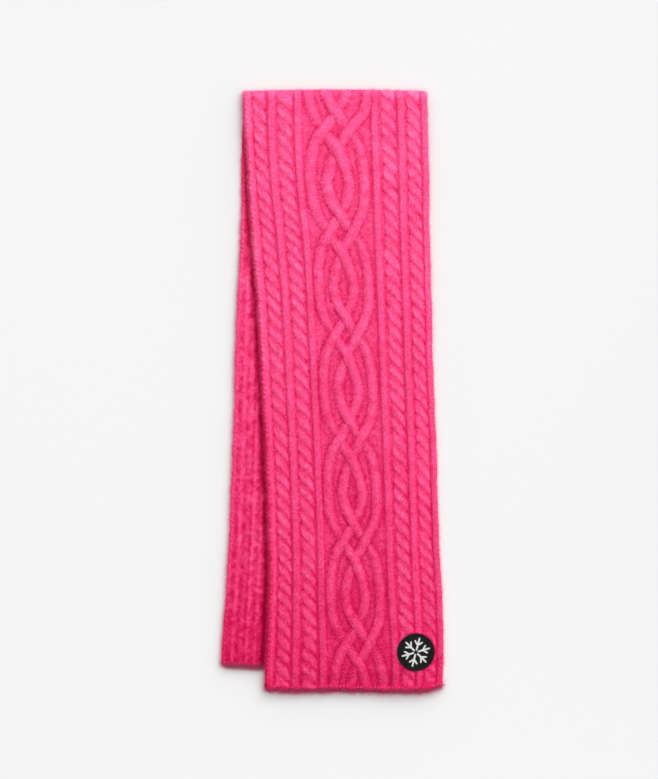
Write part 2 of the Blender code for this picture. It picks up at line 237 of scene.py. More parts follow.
def drift(from_fold, across):
    """How far the front leaf's columns have crept sideways: left by the fold, right by the hem."""
    share = across / (0.5 * STRIP_WIDTH)
    left = ease(1.0 - np.abs(from_fold - DRIFT_LEFT_MIDDLE) / DRIFT_LEFT_REACH)
    left = left * ease((1.0 + share) / 0.2) * ease((0.15 - share) / 0.6)
    right = ease((from_fold - DRIFT_RIGHT_FROM) / 0.15)
    right = right * ease((1.0 + share) / 0.8) * ease((1.1 - share) / 0.7)
    return DRIFT_RIGHT * right - DRIFT_LEFT * left


def plan(leaf, from_fold, across):
    """Where a point of the strip lies in plan. The sides draw in at the hem's round corners."""
    down = np.maximum(0.0, from_fold)
    to_corner = np.maximum(0.0, CORNER - (leaf.length - down))
    half_width = through(leaf.outline, down, "half_width")
    half_width = half_width - CORNER * (1.0 - round_top(to_corner, CORNER))
    share = across / (0.5 * STRIP_WIDTH)
    uneven = EDGE_WAVER * share ** 2 * waver(down + 0.31 * np.sign(share), leaf.seed)
    bow = FOLD_BOW * share ** 2 * (1.0 - ease(down / FOLD_BOW_REACH))
    rise = through(leaf.hem, share, "rise") + EDGE_WAVER * waver(across, leaf.seed)
    rise = rise * (1.0 - ease((leaf.length - down) / HEM_DRAW))
    x = FOLD_MIDDLE + through(leaf.outline, down, "lean") + share * half_width + uneven
    if leaf is FRONT:
        x = x + drift(down, across)
    return x, FOLD_FROM_ORIGIN - down - bow + rise


def outside(leaf, x, y):
    """How far a point in plan lies outside a leaf. It is below 0 between the leaf's sides."""
    down = np.clip(FOLD_FROM_ORIGIN - y, 0.0, leaf.length)
    middle = FOLD_MIDDLE + through(leaf.outline, down, "lean")
    past_side = np.abs(x - middle) - through(leaf.outline, down, "half_width")
    past_hem = FOLD_FROM_ORIGIN - leaf.length - y
    return np.where(past_hem <= 0.0, past_side, np.hypot(np.maximum(0.0, past_side), past_hem))


def rounding(across, from_hem):
    """Share of the thickness that is left towards an edge or a hem."""
    share = 1.0
    from_edge = 0.5 * STRIP_WIDTH - np.abs(across)
    for distance, width in ((from_edge, EDGE_ROUND), (from_hem, HEM_ROUND)):
        into = np.clip(width - distance, 0.0, width)
        share = share * (EDGE_LEFT + (1.0 - EDGE_LEFT) * round_top(into, width))
    return share


def badge_bed(x, y):
    """How far the cables are pressed at a point: 1 under the badge and 0 away from it."""
    past = np.hypot(x - BADGE_MIDDLE[0], y - BADGE_MIDDLE[1]) - BADGE_RADIUS - BADGE_BED_MARGIN
    return 1.0 - ease(past / BADGE_BED_EASE)


def front_underside(x, y):
    """Height of the front leaf's underside, which lies on the back leaf or sinks beside it."""
    past = outside(BACK, x, y) - DROOP_MARGIN
    return FLOOR_GAP + (PRESSED + SEAM_GAP - FLOOR_GAP) * (1.0 - ease(past / DROOP))


def edge_lift(from_fold, across):
    """How far the front leaf's left edge and its hem stand off what lies below them."""
    side = EDGE_LIFT * (1.0 - ease((0.5 * STRIP_WIDTH + across) / EDGE_LIFT_WIDTH))
    hem = HEM_LIFT * (1.0 - ease((FRONT_LENGTH - from_fold) / HEM_LIFT_WIDTH))
    side = side * ease(from_fold / EDGE_LIFT_FROM_FOLD)
    return side + hem * (1.0 + HEM_WAVE * waver(0.6 * across, 4.0))


def painted_light_and_shade(from_fold, across):
    """Painted light and shade on the front leaf's wool, as a change of its shade.

    It darkens from the fold to the hem, and where the left edge and the hem roll under.
    """
    # painted shade where the left edge rolls under, and then where the hem does
    roll = EDGE_SHADE_WIDTH + EDGE_SHADE_WIDTH_LOW * ease((from_fold - 0.30) / 0.16)
    rolled = 1.0 - ease((0.5 * STRIP_WIDTH + across) / roll)
    roll = HEM_SHADE_WIDTH + HEM_SHADE_WIDTH_WAVER * waver(across, 5.0)
    hem = 1.0 - ease((FRONT_LENGTH - from_fold) / roll)
    # painted light: palest at the fold, with a painted highlight round it, then darker towards the
    # hem as the light falls off
    slope = PAINTED_LIGHT_AT_FOLD + PAINTED_HIGHLIGHT_ON_FOLD * (1.0 - ease(from_fold / 0.005))
    slope = slope - PAINTED_LIGHT_LOST_DOWN * ease(from_fold / 1.1 + 0.06)
    slope = slope - PAINTED_LIGHT_LOST_LOW * ease((from_fold - 0.66) / 0.15)
    slope = slope - PAINTED_LIGHT_LOST_HEM * ease((from_fold - FRONT_LENGTH + 0.020) / 0.012)
    return slope - hem - rolled * (0.2 + 0.9 * ease(from_fold / 0.45))


def on_front(from_fold, across, height, bed):
    """Points of the front leaf at a height over its underside, also where it curls round the fold.

    Under the badge the height goes to that of the bed.
    """
    x, y = plan(FRONT, from_fold, across)
    pressed = badge_bed(x, y)
    share = rounding(across, FRONT_LENGTH - from_fold)
    z = front_underside(x, y) + (height * (1.0 - pressed) + bed * pressed) * share
    z = z + edge_lift(from_fold, across)
    angle = 0.5 * math.pi + np.clip(from_fold / FOLD_HALF, -math.pi, 0.0)
    relief = (height - GROUND) * (1.0 - (1.0 - FOLD_STRETCH) * np.cos(angle))
    relief = relief * ease((np.sin(angle) + 1.0) / FOLD_PRESSED)
    inner = np.maximum(FLOOR_GAP, np.sin(angle) * (PRESSED + SEAM_GAP))
    curled_z = inner + (FOLD_HALF + (FOLD_HALF + relief) * np.sin(angle) - inner) * share
    curled_y = y + (FOLD_REACH + relief) * np.cos(angle) * share
    curled = from_fold < 0.0
    return np.stack([x, np.where(curled, curled_y, y),
                     np.where(curled, np.maximum(FLOOR_GAP, curled_z), z)], axis=-1)


def lay_columns(bands):
    """The columns of a sheet's grid, from its left edge to its right one.

    Each has a place across, the height of its band, the shift of its Vs down the leaf, how far
    its stitches rise on every other row, how far they sink between the wales, and its painted
    shade.
    """
    columns = []
    for band, after in zip(bands, bands[1:]):
        steps = band.wales * COLUMNS_PER_WALE[band.kind]
        for i in range(steps):
            width = after.start - band.start
            across = band.start + width * i / steps
            side = (i + 0.5) / steps * 2.0 - 1.0
            crown = round_top(across - band.start - 0.5 * width, 0.5 * width)
            shift, rise, sink, depth = 0.0, 0.0, 0.0, GUTTER_SHADE
            if band.kind == "knit":
                shift = WALE_SHIFT[i % 4]
                rise = WALE_RISE[i % 4] * STITCH_RELIEF
                sink = WALE_SINK[i % 4] * STITCH_RELIEF
                depth = RIB_SHADE + RIB_CROWN_SHADE * crown + RIB_LEFT_PAINTED_LIGHT * max(0.0, -side)
            elif band.kind == "narrow":
                shift = WALE_SHIFT[i % 4]
                rise = NARROW_RISE[i % 4] * STITCH_RELIEF
                depth = NARROW_SHADE + NARROW_CROWN_SHADE * crown
            elif band.kind == "hidden":
                depth = HIDDEN_SHADE
            elif band.kind == "purl":
                rise = (PURL_RELIEF, -PURL_RELIEF)[i % 2]
                depth = PURL_SHADE
            columns.append((across, band.height * crown ** 1.5, shift, rise, sink, depth))
    columns.append((bands[-1].start, 0.0, 0.0, 0.0, 0.0, 0.6))
    return np.array(columns).T


def in_turn(count):
    """1 and -1 in turn, as the legs of stitches rise on every other half row."""
    return np.where(np.arange(count) % 2 == 0, 1.0, -1.0)


def fine_noise(shape, seed, spread):
    """Random values, smoothed over a few neighbours, with a spread of about 1."""
    values = np.random.default_rng(seed).normal(size=shape)
    for axis in (0, 1):
        for _ in range(spread):
            values = 0.5 * values + 0.25 * (np.roll(values, 1, axis) + np.roll(values, -1, axis))
    return values / values.std()


def inside_ends(down, start, end):
    """0 at the ends of a leaf, and 1 from a row away from them."""
    return np.minimum(ease((down - start) / ROW), ease((end - down) / ROW))


def lay_rows(bands, start, end, rows_at_once, seed, looseness):
    """The grid of a sheet's half rows and columns: where its points are, and their stitches.

    The number of half rows is a multiple of rows_at_once, and its first and last rows lie flat.
    """
    across, height, shift, rise, sink, depth = lay_columns(bands)
    half_rows = rows_at_once * round((end - start) / (0.5 * ROW) / rows_at_once)
    down = np.linspace(start, end, half_rows + 1)[:, None]
    inside = inside_ends(down, start, end)
    uneven = fine_noise((half_rows + 1, across.size), seed, 1) * inside
    stitches = rise * in_turn(half_rows + 1)[:, None] - sink
    stitches = stitches * inside * (1.0 + looseness * uneven)
    from_fold = down + shift * 0.5 * ROW * inside
    across = np.broadcast_to(across, from_fold.shape)
    return down, from_fold, across, height, depth, stitches, uneven


def make_object(name, data):
    """An object in the scene, at the origin."""
    piece = bpy.data.objects.new(name, data)
    bpy.context.scene.collection.objects.link(piece)
    return piece


def make_piece(name, points, faces, values, material):
    """A mesh object with its place in its mesh, its faces outwards and values at its points."""
    data = bpy.data.meshes.new(name)
    data.from_pydata(points.tolist(), [], faces)
    turned = bmesh.new()
    turned.from_mesh(data)
    bmesh.ops.recalc_face_normals(turned, faces=turned.faces)
    turned.to_mesh(data)
    turned.free()
    for value_name, value in values.items():
        attribute = data.attributes.new(value_name, "FLOAT", "POINT")
        attribute.data.foreach_set("value", np.asarray(value, dtype=np.float32))
    data.materials.append(material)
    data.shade_smooth()
    return make_object(name, data)


def grid_faces(numbers):
    """Quads between the neighbours in a grid of point numbers."""
    corners = (numbers[:-1, :-1], numbers[1:, :-1], numbers[1:, 1:], numbers[:-1, 1:])
    return np.stack(corners, axis=-1).reshape(-1, 4).tolist()


def rim_faces(top, under, row_joints, column_joints):
    """Faces between a fine top grid and a coarser underside, all round their rim.

    A joint is a number along the top's rim and the one that lies below it.
    """
    faces = []
    for (start, low_start), (end, low_end) in zip(row_joints, row_joints[1:]):
        for side in (0, -1):
            faces.append([*top[start:end + 1, side], *under[low_start:low_end + 1, side][::-1]])
    for (start, low_start), (end, low_end) in zip(column_joints, column_joints[1:]):
        for side in (0, -1):
            faces.append([*top[side, start:end + 1], *under[side, low_start:low_end + 1][::-1]])
    return [[int(number) for number in face] for face in faces]


def fringe(leaf, from_fold, across):
    """Where the long loose fibres stand: along a leaf's edges, its hem and the fold."""
    left = ease((-across - FRINGE_FROM) / FRINGE_REACH)
    right = FRINGE_RIGHT * ease((across - FRINGE_FROM) / FRINGE_REACH)
    hem = ease((from_fold - leaf.length + FRINGE_HEM) / 0.004)
    return left + right + hem + FRINGE_FOLD * ease(-from_fold / 0.002)


def hem_fringe(leaf, from_fold):
    """Where the fluff hangs from a leaf's rolled hem."""
    return ease((from_fold - leaf.length + FRINGE_HEM) / FRINGE_REACH)


def calculate(tree, operation, *values):
    """The result of a math node, from sockets and plain numbers."""
    node = tree.nodes.new("ShaderNodeMath")
    node.operation = operation
    for socket, value in zip(node.inputs, values):
        if isinstance(value, bpy.types.NodeSocket):
            tree.links.new(value, socket)
        else:
            socket.default_value = value
    return node.outputs[0]


def start_group(name, inputs):
    """A shader group with number inputs, which puts out a shade and a normal."""
    group = bpy.data.node_groups.new(name, "ShaderNodeTree")
    new_socket = group.interface.new_socket
    for input_name, value in inputs:
        socket = new_socket(input_name, in_out="INPUT", socket_type="NodeSocketFloat")
        socket.default_value = value
    new_socket("Shade", in_out="OUTPUT", socket_type="NodeSocketFloat")
    new_socket("Normal", in_out="OUTPUT", socket_type="NodeSocketVector")
    given = group.nodes.new("NodeGroupInput")
    place = group.nodes.new("ShaderNodeTexCoord")
    return group, given, place.outputs["Object"]


def end_group(group, given, shade, height, strength):
    """Gives a group's outputs their shade and a normal that is bumped by a height."""
    out = group.nodes.new("NodeGroupOutput")
    bump = group.nodes.new("ShaderNodeBump")
    bump.inputs["Strength"].default_value = strength
    group.links.new(given.outputs["Bump height"], bump.inputs["Distance"])
    group.links.new(height, bump.inputs["Height"])
    group.links.new(shade, out.inputs["Shade"])
    group.links.new(bump.outputs["Normal"], out.inputs["Normal"])


def wool_group():
    """Shade and bump of brushed wool: its fibres and tufts, over the knitting's tone and painted
    shade.
    """
    # The Depth input carries the knitting's tone and its painted shade.
    group, given, place = start_group("brushed_wool", (
        ("Depth", 1.0), ("Fibre size", 0.0024), ("Fleck", 1.0), ("Bump height", 0.0007)))

    def noise(size_share, detail, roughness, distortion):
        node = group.nodes.new("ShaderNodeTexNoise")
        node.inputs["Detail"].default_value = detail
        node.inputs["Roughness"].default_value = roughness
        node.inputs["Distortion"].default_value = distortion
        scale = calculate(group, "DIVIDE", size_share, given.outputs["Fibre size"])
        group.links.new(place, node.inputs["Vector"])
        group.links.new(scale, node.inputs["Scale"])
        return calculate(group, "SUBTRACT", node.outputs[0], 0.5)

    fibres = noise(size_share=1.0, detail=3.0, roughness=0.6, distortion=0.8)
    tufts = noise(size_share=0.40, detail=4.0, roughness=0.7, distortion=1.5)
    patches = noise(size_share=0.10, detail=2.0, roughness=0.5, distortion=0.0)
    flecks = calculate(group, "ADD", fibres, tufts)
    flecks = calculate(group, "MULTIPLY", flecks, given.outputs["Fleck"])
    shade = calculate(group, "ADD", given.outputs["Depth"], flecks)
    shade = calculate(group, "ADD", shade, calculate(group, "MULTIPLY", patches, 0.5))
    height = calculate(group, "ADD", fibres, calculate(group, "MULTIPLY", tufts, 1.6))
    end_group(group, given, shade, height, 0.30)
    return group


brushed_wool = wool_group()


def shade_ramp_material(name, group, settings, finish, shade_colours):
    """A material with a group's normal, and colours that follow the group's shade, painted shade
    among it.

    The settings are the group's own inputs, and the finish is the shader's. Each colour is given
    at a shade, from the lowest shade to the highest.
    """
    material = bpy.data.materials.new(name)
    material.use_nodes = True
    nodes, links = material.node_tree.nodes, material.node_tree.links
    shader = nodes["Principled BSDF"]
    for socket_name, value in finish.items():
        shader.inputs[socket_name].default_value = value
    texture = nodes.new("ShaderNodeGroup")
    texture.node_tree = group
    for socket_name, value in settings.items():
        texture.inputs[socket_name].default_value = value
    lowest, highest = shade_colours[0][0], shade_colours[-1][0]
    reach = nodes.new("ShaderNodeMapRange")
    reach.inputs["From Min"].default_value = lowest
    reach.inputs["From Max"].default_value = highest
    ramp = nodes.new("ShaderNodeValToRGB")
    stops = ramp.color_ramp.elements
    while len(stops) < len(shade_colours):
        stops.new(0.5)
    for stop, (shade, colour) in zip(stops, shade_colours):
        stop.position = (shade - lowest) / (highest - lowest)
        stop.color = (*colour, 1.0)
    links.new(texture.outputs["Shade"], reach.inputs["Value"])
    links.new(reach.outputs["Result"], ramp.inputs["Fac"])
    links.new(ramp.outputs["Color"], shader.inputs["Base Color"])
    links.new(texture.outputs["Normal"], shader.inputs["Normal"])
    return material, texture


def wool_material(name, shade_colours, fleck):
    """Brushed wool: rough, with light that seeps through it and a faint sheen on its nap.

    Its colours go from the painted shade of its deepest crevices, at -1, up to its palest fluff,
    at 1.5. Fluff hanging in shadow is painted greyer, at -2.
    """
    material, wool = shade_ramp_material(name, brushed_wool, {"Fleck": fleck}, {
        "Roughness": 0.92, "Specular IOR Level": 0.0, "Subsurface Weight": 0.3,
        "Subsurface Radius": (1.0, 0.6, 0.75), "Subsurface Scale": 0.0006, "Sheen Weight": 0.03,
        "Sheen Roughness": 0.45, "Sheen Tint": (1.0, 0.42, 0.62, 1.0)}, shade_colours)
    # the tone and painted shade that the wool's points carry
    depth = material.node_tree.nodes.new("ShaderNodeAttribute")
    depth.attribute_name = "depth"
    material.node_tree.links.new(depth.outputs["Fac"], wool.inputs["Depth"])
    return material


pink_wool = wool_material("pink_wool", (
    (-1.0, (0.44, 0.001, 0.040)),
    (0.0, (0.72, 0.013, 0.110)),
    (0.5, (0.89, 0.057, 0.215)),
    (1.0, (1.0, 0.122, 0.33)),
    (1.5, (1.0, 0.23, 0.47)),
), 1.4)


def make_sheet(name, top, under, values, under_shade, row_joints, column_joints):
    """A closed sheet of a fine top grid and a coarser underside, with values at its points."""
    size = top[..., 0].size
    numbers = np.arange(size).reshape(top.shape[:2])
    under_numbers = size + np.arange(under[..., 0].size).reshape(under.shape[:2])
    faces = grid_faces(numbers) + grid_faces(under_numbers)
    faces += rim_faces(numbers, under_numbers, row_joints, column_joints)
    points = np.concatenate([top.reshape(-1, 3), under.reshape(-1, 3)])
    whole = {}
    for key, value in values.items():
        below = np.broadcast_to(under_shade * (key == "depth"), under_numbers.shape)
        whole[key] = np.concatenate([value.ravel(), below.ravel()])
    return make_piece(name, points, faces, whole, pink_wool)


def make_front_leaf():
    """The ground and ribs, with a V or a purl bump for each stitch, over a plain underside."""
    down, from_fold, across, height, depth, stitches, uneven = lay_rows(
        FRONT_BANDS, -math.pi * FOLD_HALF, FRONT_LENGTH, UNDER_ROWS, 5, LOOSENESS)
    top = on_front(from_fold, across, GROUND + height + stitches + UNEVEN_RELIEF * uneven,
                   GROUND + BADGE_BED)
    contrast = np.where(height > 0.0, RIB_CONTRAST, GROUND_CONTRAST)
    # painted shade of gutters, hollows and sunk stitches, painted light and shade down the leaf,
    # and a random tone
    shade = depth + contrast * stitches / STITCH_RELIEF + 0.06 * uneven + painted_light_and_shade(from_fold, across)
    nap = 1.0 + ease((np.abs(across) - 0.120) / 0.004)
    nap = nap * (badge_bed(top[..., 0], top[..., 1]) < 0.9)
    columns_kept = [*range(0, across.shape[1] - 1, UNDER_COLUMNS), across.shape[1] - 1]
    rows_kept = list(range(0, across.shape[0], UNDER_ROWS))
    plain_down = np.broadcast_to(down, across.shape)[np.ix_(rows_kept, columns_kept)]
    plain_across = across[np.ix_(rows_kept, columns_kept)]
    x, y = plan(FRONT, plain_down, plain_across)
    angle = 0.5 * math.pi + np.clip(plain_down / FOLD_HALF, -math.pi, 0.0)
    curled_z = np.maximum(FLOOR_GAP, np.sin(angle) * (PRESSED + SEAM_GAP))
    flat_z = front_underside(x, y) + edge_lift(plain_down, plain_across)
    under = np.stack([x, y, np.where(plain_down < 0.0, curled_z, flat_z)], axis=-1)
    values = {"depth": shade, "nap": nap, "fringe": fringe(FRONT, from_fold, across),
              "hem": hem_fringe(FRONT, from_fold)}
    leaf = make_sheet("front_leaf_knit", top, under, values, UNDER_SHADE,
                      [(row, j) for j, row in enumerate(rows_kept)],
                      [(column, i) for i, column in enumerate(columns_kept)])
    return leaf, from_fold, across


front_leaf, ground_down, ground_across = make_front_leaf()
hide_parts("front_leaf")
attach(front_leaf, "root")


# ---- The ropes -----------------------------------------------------------------------------------
# Two rope cables on either side of the braid. Each is two strands, three wales of knit stitches
# wide, which cross over every six rows. They are knitted in one with the ground.

ROPE_PITCH = 0.0198
ROPE_START = 0.0050
ROPE_PLUMP = 0.0027
ROPE_LEAN = 1.12             # a turn falls by this many pitches from the left side to the right
ROPE_ENDS = 0.018            # the turns lie level at the ends of the leaf, over this length
STRAND_ROOT = 0.0014         # how deep the sides reach into the ground
WALES = 3                    # in a strand
ROWS_OVER = 8                # rows of stitches across a rope
CROSSINGS = 80               # more than any rope has
GROOVE = 0.60                # share of its plumpness that a rope loses in a groove
GROOVE_DRAW = (0.72, 1.12)   # how tightly each crossing is drawn, at least and at most
ROPE_SHADE = 0.92            # the painted shade of its crown
GROOVE_SHADE = 1.10          # painted shade in its grooves, and at its sides, where shade falls
ROPE_SIDE_SHADE = 0.75
ROPE_CONTRAST = 0.20
CABLE_START = -0.9 * math.pi * FOLD_HALF
CABLE_END = FRONT_LENGTH - 0.3 * EDGE_ROUND

# A rope's middle across, its width, and how many millimetres its crossings have slipped down the
# leaf at the stations, as the strip was laid by hand.
Rope = namedtuple("Rope", "middle width slips")
SLIP_STATIONS = (0.06, 0.14, 0.22, 0.30, 0.38, 0.46, 0.54, 0.62, 0.70, 0.80)
ROPES = (
    Rope(-0.1026, 0.0200, (7.9, 7.8, 3.9, 3.2, 4.2, 6.3, 7.8, 5.4, -1.5, -4.0)),
    Rope(-0.0676, 0.0210, (12.5, 12.8, 5.5, 4.4, 5.1, 8.9, 9.7, 8.2, 1.8, 0.0)),
    Rope(0.0710, 0.0210, (3.2, 3.3, -0.4, 1.6, -0.6, -3.5, -5.0, -3.4, -4.6, -6.0)),
    Rope(0.1057, 0.0196, (1.8, 0.5, -1.0, -1.2, -4.4, -6.2, -5.6, -5.4, -8.0, -10.0)),
)


def close_rings(from_fold, across, height, depth, nap):
    """Points of a rib that stands on the ground, closed below, from its places on the strip."""
    root = np.full((len(height), 1), GROUND - STRAND_ROOT)
    from_fold = np.concatenate([from_fold, from_fold[:, -1:], from_fold[:, :1]], axis=1)
    across = np.concatenate([across, across[:, -1:], across[:, :1]], axis=1)
    height = np.concatenate([height, root, root], axis=1)
    depth = np.concatenate([depth, 0.0 * root, 0.0 * root], axis=1)
    nap = np.concatenate([nap, 0.0 * root, 0.0 * root], axis=1)
    bed = GROUND + BADGE_BED - 0.0006 - STRAND_ROOT * (height <= GROUND - STRAND_ROOT)
    points = on_front(from_fold, across, height, bed)
    return points, depth, nap * (badge_bed(points[..., 0], points[..., 1]) < 0.9)


def knit_rope(rope, seed):
    """Points of one rope in rings that lean as its turns do, with their tone, painted shade and
    nap.

    A strand that dives under the other leaves a groove, drawn tighter at some crossings than at
    others. Its wales are columns of Vs along the turns.
    """
    step = ROPE_PITCH / (4 * WALES)
    first, last = (CABLE_START - ROPE_START) / step, (CABLE_END - ROPE_START) / step
    ring = np.arange(math.ceil(first), math.floor(last) + 1)[:, None]
    t = ROPE_START + step * ring
    even = np.linspace(-1.0, 1.0, 2 * ROWS_OVER + 1)
    share = 0.6 * even + 0.4 * np.sin(0.5 * math.pi * even)
    shift, rise, sink = WALE_SHIFT[ring % 4], WALE_RISE[ring % 4], WALE_SINK[ring % 4]
    crest = in_turn(share.size)
    inner = 1.0 - share ** 2
    share = share + shift * inner / ROWS_OVER
    uneven = fine_noise(share.shape, seed, 1)
    patchy = fine_noise(share.shape, seed + 100, 4)
    lean = ROPE_LEAN * ROPE_PITCH * (0.44 * share + 0.06 * share ** 5)
    lean = lean * ease(np.minimum(t - CABLE_START, CABLE_END - t) / ROPE_ENDS)
    from_fold = t + 0.001 * np.interp(t, SLIP_STATIONS, rope.slips) + lean
    from_fold = np.clip(from_fold, CABLE_START, CABLE_END)
    across = rope.middle + 0.5 * rope.width * share * (1.0 + 0.03 * patchy * np.abs(share) ** 4)

    turn = ring / (4.0 * WALES)
    crossing = np.round(turn).astype(int)
    tight = np.random.default_rng(seed).uniform(*GROOVE_DRAW, CROSSINGS)[crossing % CROSSINGS]
    groove = np.clip(1.0 - 2.0 * np.abs(turn - crossing), 0.0, 1.0)
    groove = tight * (1.0 - (1.0 - groove ** 2.2) ** 0.75) * (1.0 + 0.14 * patchy)
    side = np.maximum(0.0, 1.0 - np.abs(share) ** 3) ** 0.8
    stitches = (rise * crest - sink) * STITCH_RELIEF * (1.0 + LOOSENESS * uneven) * inner
    height = GROUND - 0.0002 + ROPE_PLUMP * side * (1.0 - GROOVE * groove)
    height = height + stitches + UNEVEN_RELIEF * uneven
    # painted shade in the grooves and at the sides, and paler stitches where they stand out
    depth = ROPE_SHADE - GROOVE_SHADE * groove - ROPE_SIDE_SHADE * np.abs(share) ** 6
    depth = depth + ROPE_CONTRAST * stitches / STITCH_RELIEF + 0.10 * uneven + 0.09 * patchy
    depth = depth + painted_light_and_shade(from_fold, across)
    return close_rings(from_fold, across, height, depth, inner * (1.0 - 0.5 * groove))


def tube_faces(numbers):
    """Faces of a tube with closed ends, from point numbers with one ring in each row."""
    sides = grid_faces(np.concatenate([numbers, numbers[:, :1]], axis=1))
    return sides + [numbers[0].tolist(), numbers[-1, ::-1].tolist()]


def join_rings(name, parts):
    """Several parts made of rings in one mesh, each a closed tube."""
    points, faces, tones_and_painted_shades, naps, first = [], [], [], [], 0
    for rings, depth, nap in parts:
        faces += tube_faces(first + np.arange(depth.size).reshape(depth.shape))
        points.append(rings.reshape(-1, 3))
        tones_and_painted_shades.append(depth.ravel())
        naps.append(nap.ravel())
        first += depth.size
    values = {"depth": np.concatenate(tones_and_painted_shades), "nap": np.concatenate(naps)}
    return make_piece(name, np.concatenate(points), faces, values, pink_wool)


front_ropes = join_rings("front_ropes", [knit_rope(rope, 20 + k) for k, rope in enumerate(ROPES)])
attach(front_ropes, "root")


# ---- The braid -----------------------------------------------------------------------------------
# The middle cable: four strands, each three wales of knit stitches wide, on a ground of purl. The
# inner two twist in an eye, the outer two pass round them, and they change places between eyes.

BRAID_PITCH = 0.1435
BRAID_FIRST_EYE = 0.1250
BRAID_STRAND = 0.0162
BRAID_PLUMP = 0.0021
BRAID_FLARE = 0.0085         # an outer strand strays this far aside at the fold
STRAND_LIFT = 0.0010         # how much higher a strand lies where it passes over another
STRAND_LOW = 0.0003          # how far its sides sink below the ground
BRAID_SHADE = 0.70           # the painted shade of a strand's crown
RIM_SHADE_LEFT = 0.68        # painted shade on its left rim, away from the light, and on its right one
RIM_SHADE_RIGHT = 0.54
RIM_SHADE_DOWN = 0.12        # and how much darker they are painted down the leaf
LIFT_SHADE = 0.042           # painted light: how much paler it is where it passes over another
BRAID_CONTRAST = 0.15

Strand = namedtuple("Strand", "from_eye across lift")
OUTER_STRAND = (
    Strand(0.000, -0.0360, 0.0),
    Strand(0.195, -0.0340, 0.0),
    Strand(0.322, -0.0285, -0.4),
    Strand(0.420, -0.0203, -0.9),
    Strand(0.480, -0.0155, -1.0),
    Strand(0.570, -0.0088, 0.0),
    Strand(0.663, 0.0000, 1.0),
    Strand(0.740, 0.0045, 0.8),
    Strand(0.859, 0.0106, 0.0),
    Strand(1.000, 0.0151, 0.0),
)
INNER_STRAND = (
    Strand(0.000, -0.0151, 0.0),
    Strand(0.146, -0.0112, 0.2),
    Strand(0.244, -0.0049, 0.9),
    Strand(0.312, 0.0011, 1.0),
    Strand(0.390, 0.0077, 0.0),
    Strand(0.480, 0.0163, -1.0),
    Strand(0.556, 0.0241, -0.8),
    Strand(0.654, 0.0298, 0.0),
    Strand(0.810, 0.0343, 0.0016),
    Strand(1.000, 0.0360, 0.0),
)
# A strand takes the two ways of its pair in turn, a new one at every eye. 1 is as in the table,
# and -1 is its mirror.
BRAID_PAIRS = (((OUTER_STRAND, 1.0), (INNER_STRAND, -1.0)),
               ((INNER_STRAND, -1.0), (OUTER_STRAND, 1.0)),
               ((OUTER_STRAND, -1.0), (INNER_STRAND, 1.0)),
               ((INNER_STRAND, 1.0), (OUTER_STRAND, -1.0)))


def braid_path(pair):
    """One strand's way down the braid: its middle across, and how high its side stands."""
    def path(from_fold):
        x = (from_fold - BRAID_FIRST_EYE) / BRAID_PITCH
        across, side = np.zeros_like(x), np.zeros_like(x)
        for eye in range(-1, 5):
            table, mirror = pair[eye % 2]
            here = np.floor(x) == eye
            across = np.where(here, mirror * through(table, x - eye, "across"), across)
            lift = mirror * through(table, x - eye, "lift")
            side = np.where(here, STRAND_LIFT * lift - STRAND_LOW, side)
        flare = BRAID_FLARE * ease((0.075 - from_fold) / 0.060) * ease(across / 0.030)
        return across + flare, side
    return path


def path_lean(path, from_fold):
    """How far a strand of the braid goes across for each step down."""
    step = 0.0005
    return (path(from_fold + step)[0] - path(from_fold - step)[0]) / (2.0 * step)


def knit_strand(path, seed):
    """Points of one strand of the braid, in rings down its path, with their tone, painted shade and
    nap.

    Its wales are columns of Vs, its middle is plump, and its ragged sides are painted darker.
    """
    rings = round((CABLE_END - CABLE_START) / (0.5 * ROW))
    k = np.arange(4 * WALES + 1)
    even = 2.0 * k / (4 * WALES) - 1.0
    share = 0.5 * even + 0.5 * np.sin(0.5 * math.pi * even)
    shift, rise, sink = WALE_SHIFT[k % 4], WALE_RISE[k % 4], WALE_SINK[k % 4]
    rise[[0, -1]] = sink[[0, -1]] = 0.0
    crest = in_turn(rings + 1)[:, None]
    uneven = fine_noise((rings + 1, share.size), seed, 1)
    patchy = fine_noise((rings + 1, share.size), seed + 100, 5)
    t = np.linspace(CABLE_START, CABLE_END, rings + 1)[:, None] + shift * 0.5 * ROW
    middle, side = path(t)
    lean = path_lean(path, t)
    spread = np.hypot(1.0, lean)
    ragged = 0.09 * crest + 0.06 * uneven + 0.06 * patchy
    offset = 0.5 * BRAID_STRAND * share * (1.0 + ragged * np.abs(share) ** 4)
    across = middle + offset / spread
    from_fold = np.minimum(t - offset * lean / spread, CABLE_END)
    crown = (1.0 - share ** 2) ** 1.1
    stitches = (rise * crest - sink) * STITCH_RELIEF * (1.0 + LOOSENESS * uneven)
    height = GROUND + side + BRAID_PLUMP * crown + stitches + UNEVEN_RELIEF * uneven
    rim = (1.0 + 0.18 * patchy) * np.where(share > 0.0, RIM_SHADE_RIGHT, RIM_SHADE_LEFT)
    rim = (rim + RIM_SHADE_DOWN * ease(from_fold / 0.6)) * np.abs(share) ** 4.5
    # painted shade on the rims, more on the left side, away from the light; painted light where a
    # strand lies higher
    depth = BRAID_SHADE - rim - 0.16 * np.maximum(0.0, -share) ** 1.5
    depth = depth + BRAID_CONTRAST * stitches / STITCH_RELIEF + 0.08 * uneven + 0.07 * patchy
    depth = depth + LIFT_SHADE * (side + 0.0004) / STRAND_LIFT + painted_light_and_shade(from_fold, across)
    return close_rings(from_fold, across, height, depth, np.broadcast_to(crown, height.shape))


front_braid = join_rings("front_braid", [knit_strand(braid_path(pair), 40 + k)
                                         for k, pair in enumerate(BRAID_PAIRS)])
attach(front_braid, "root")


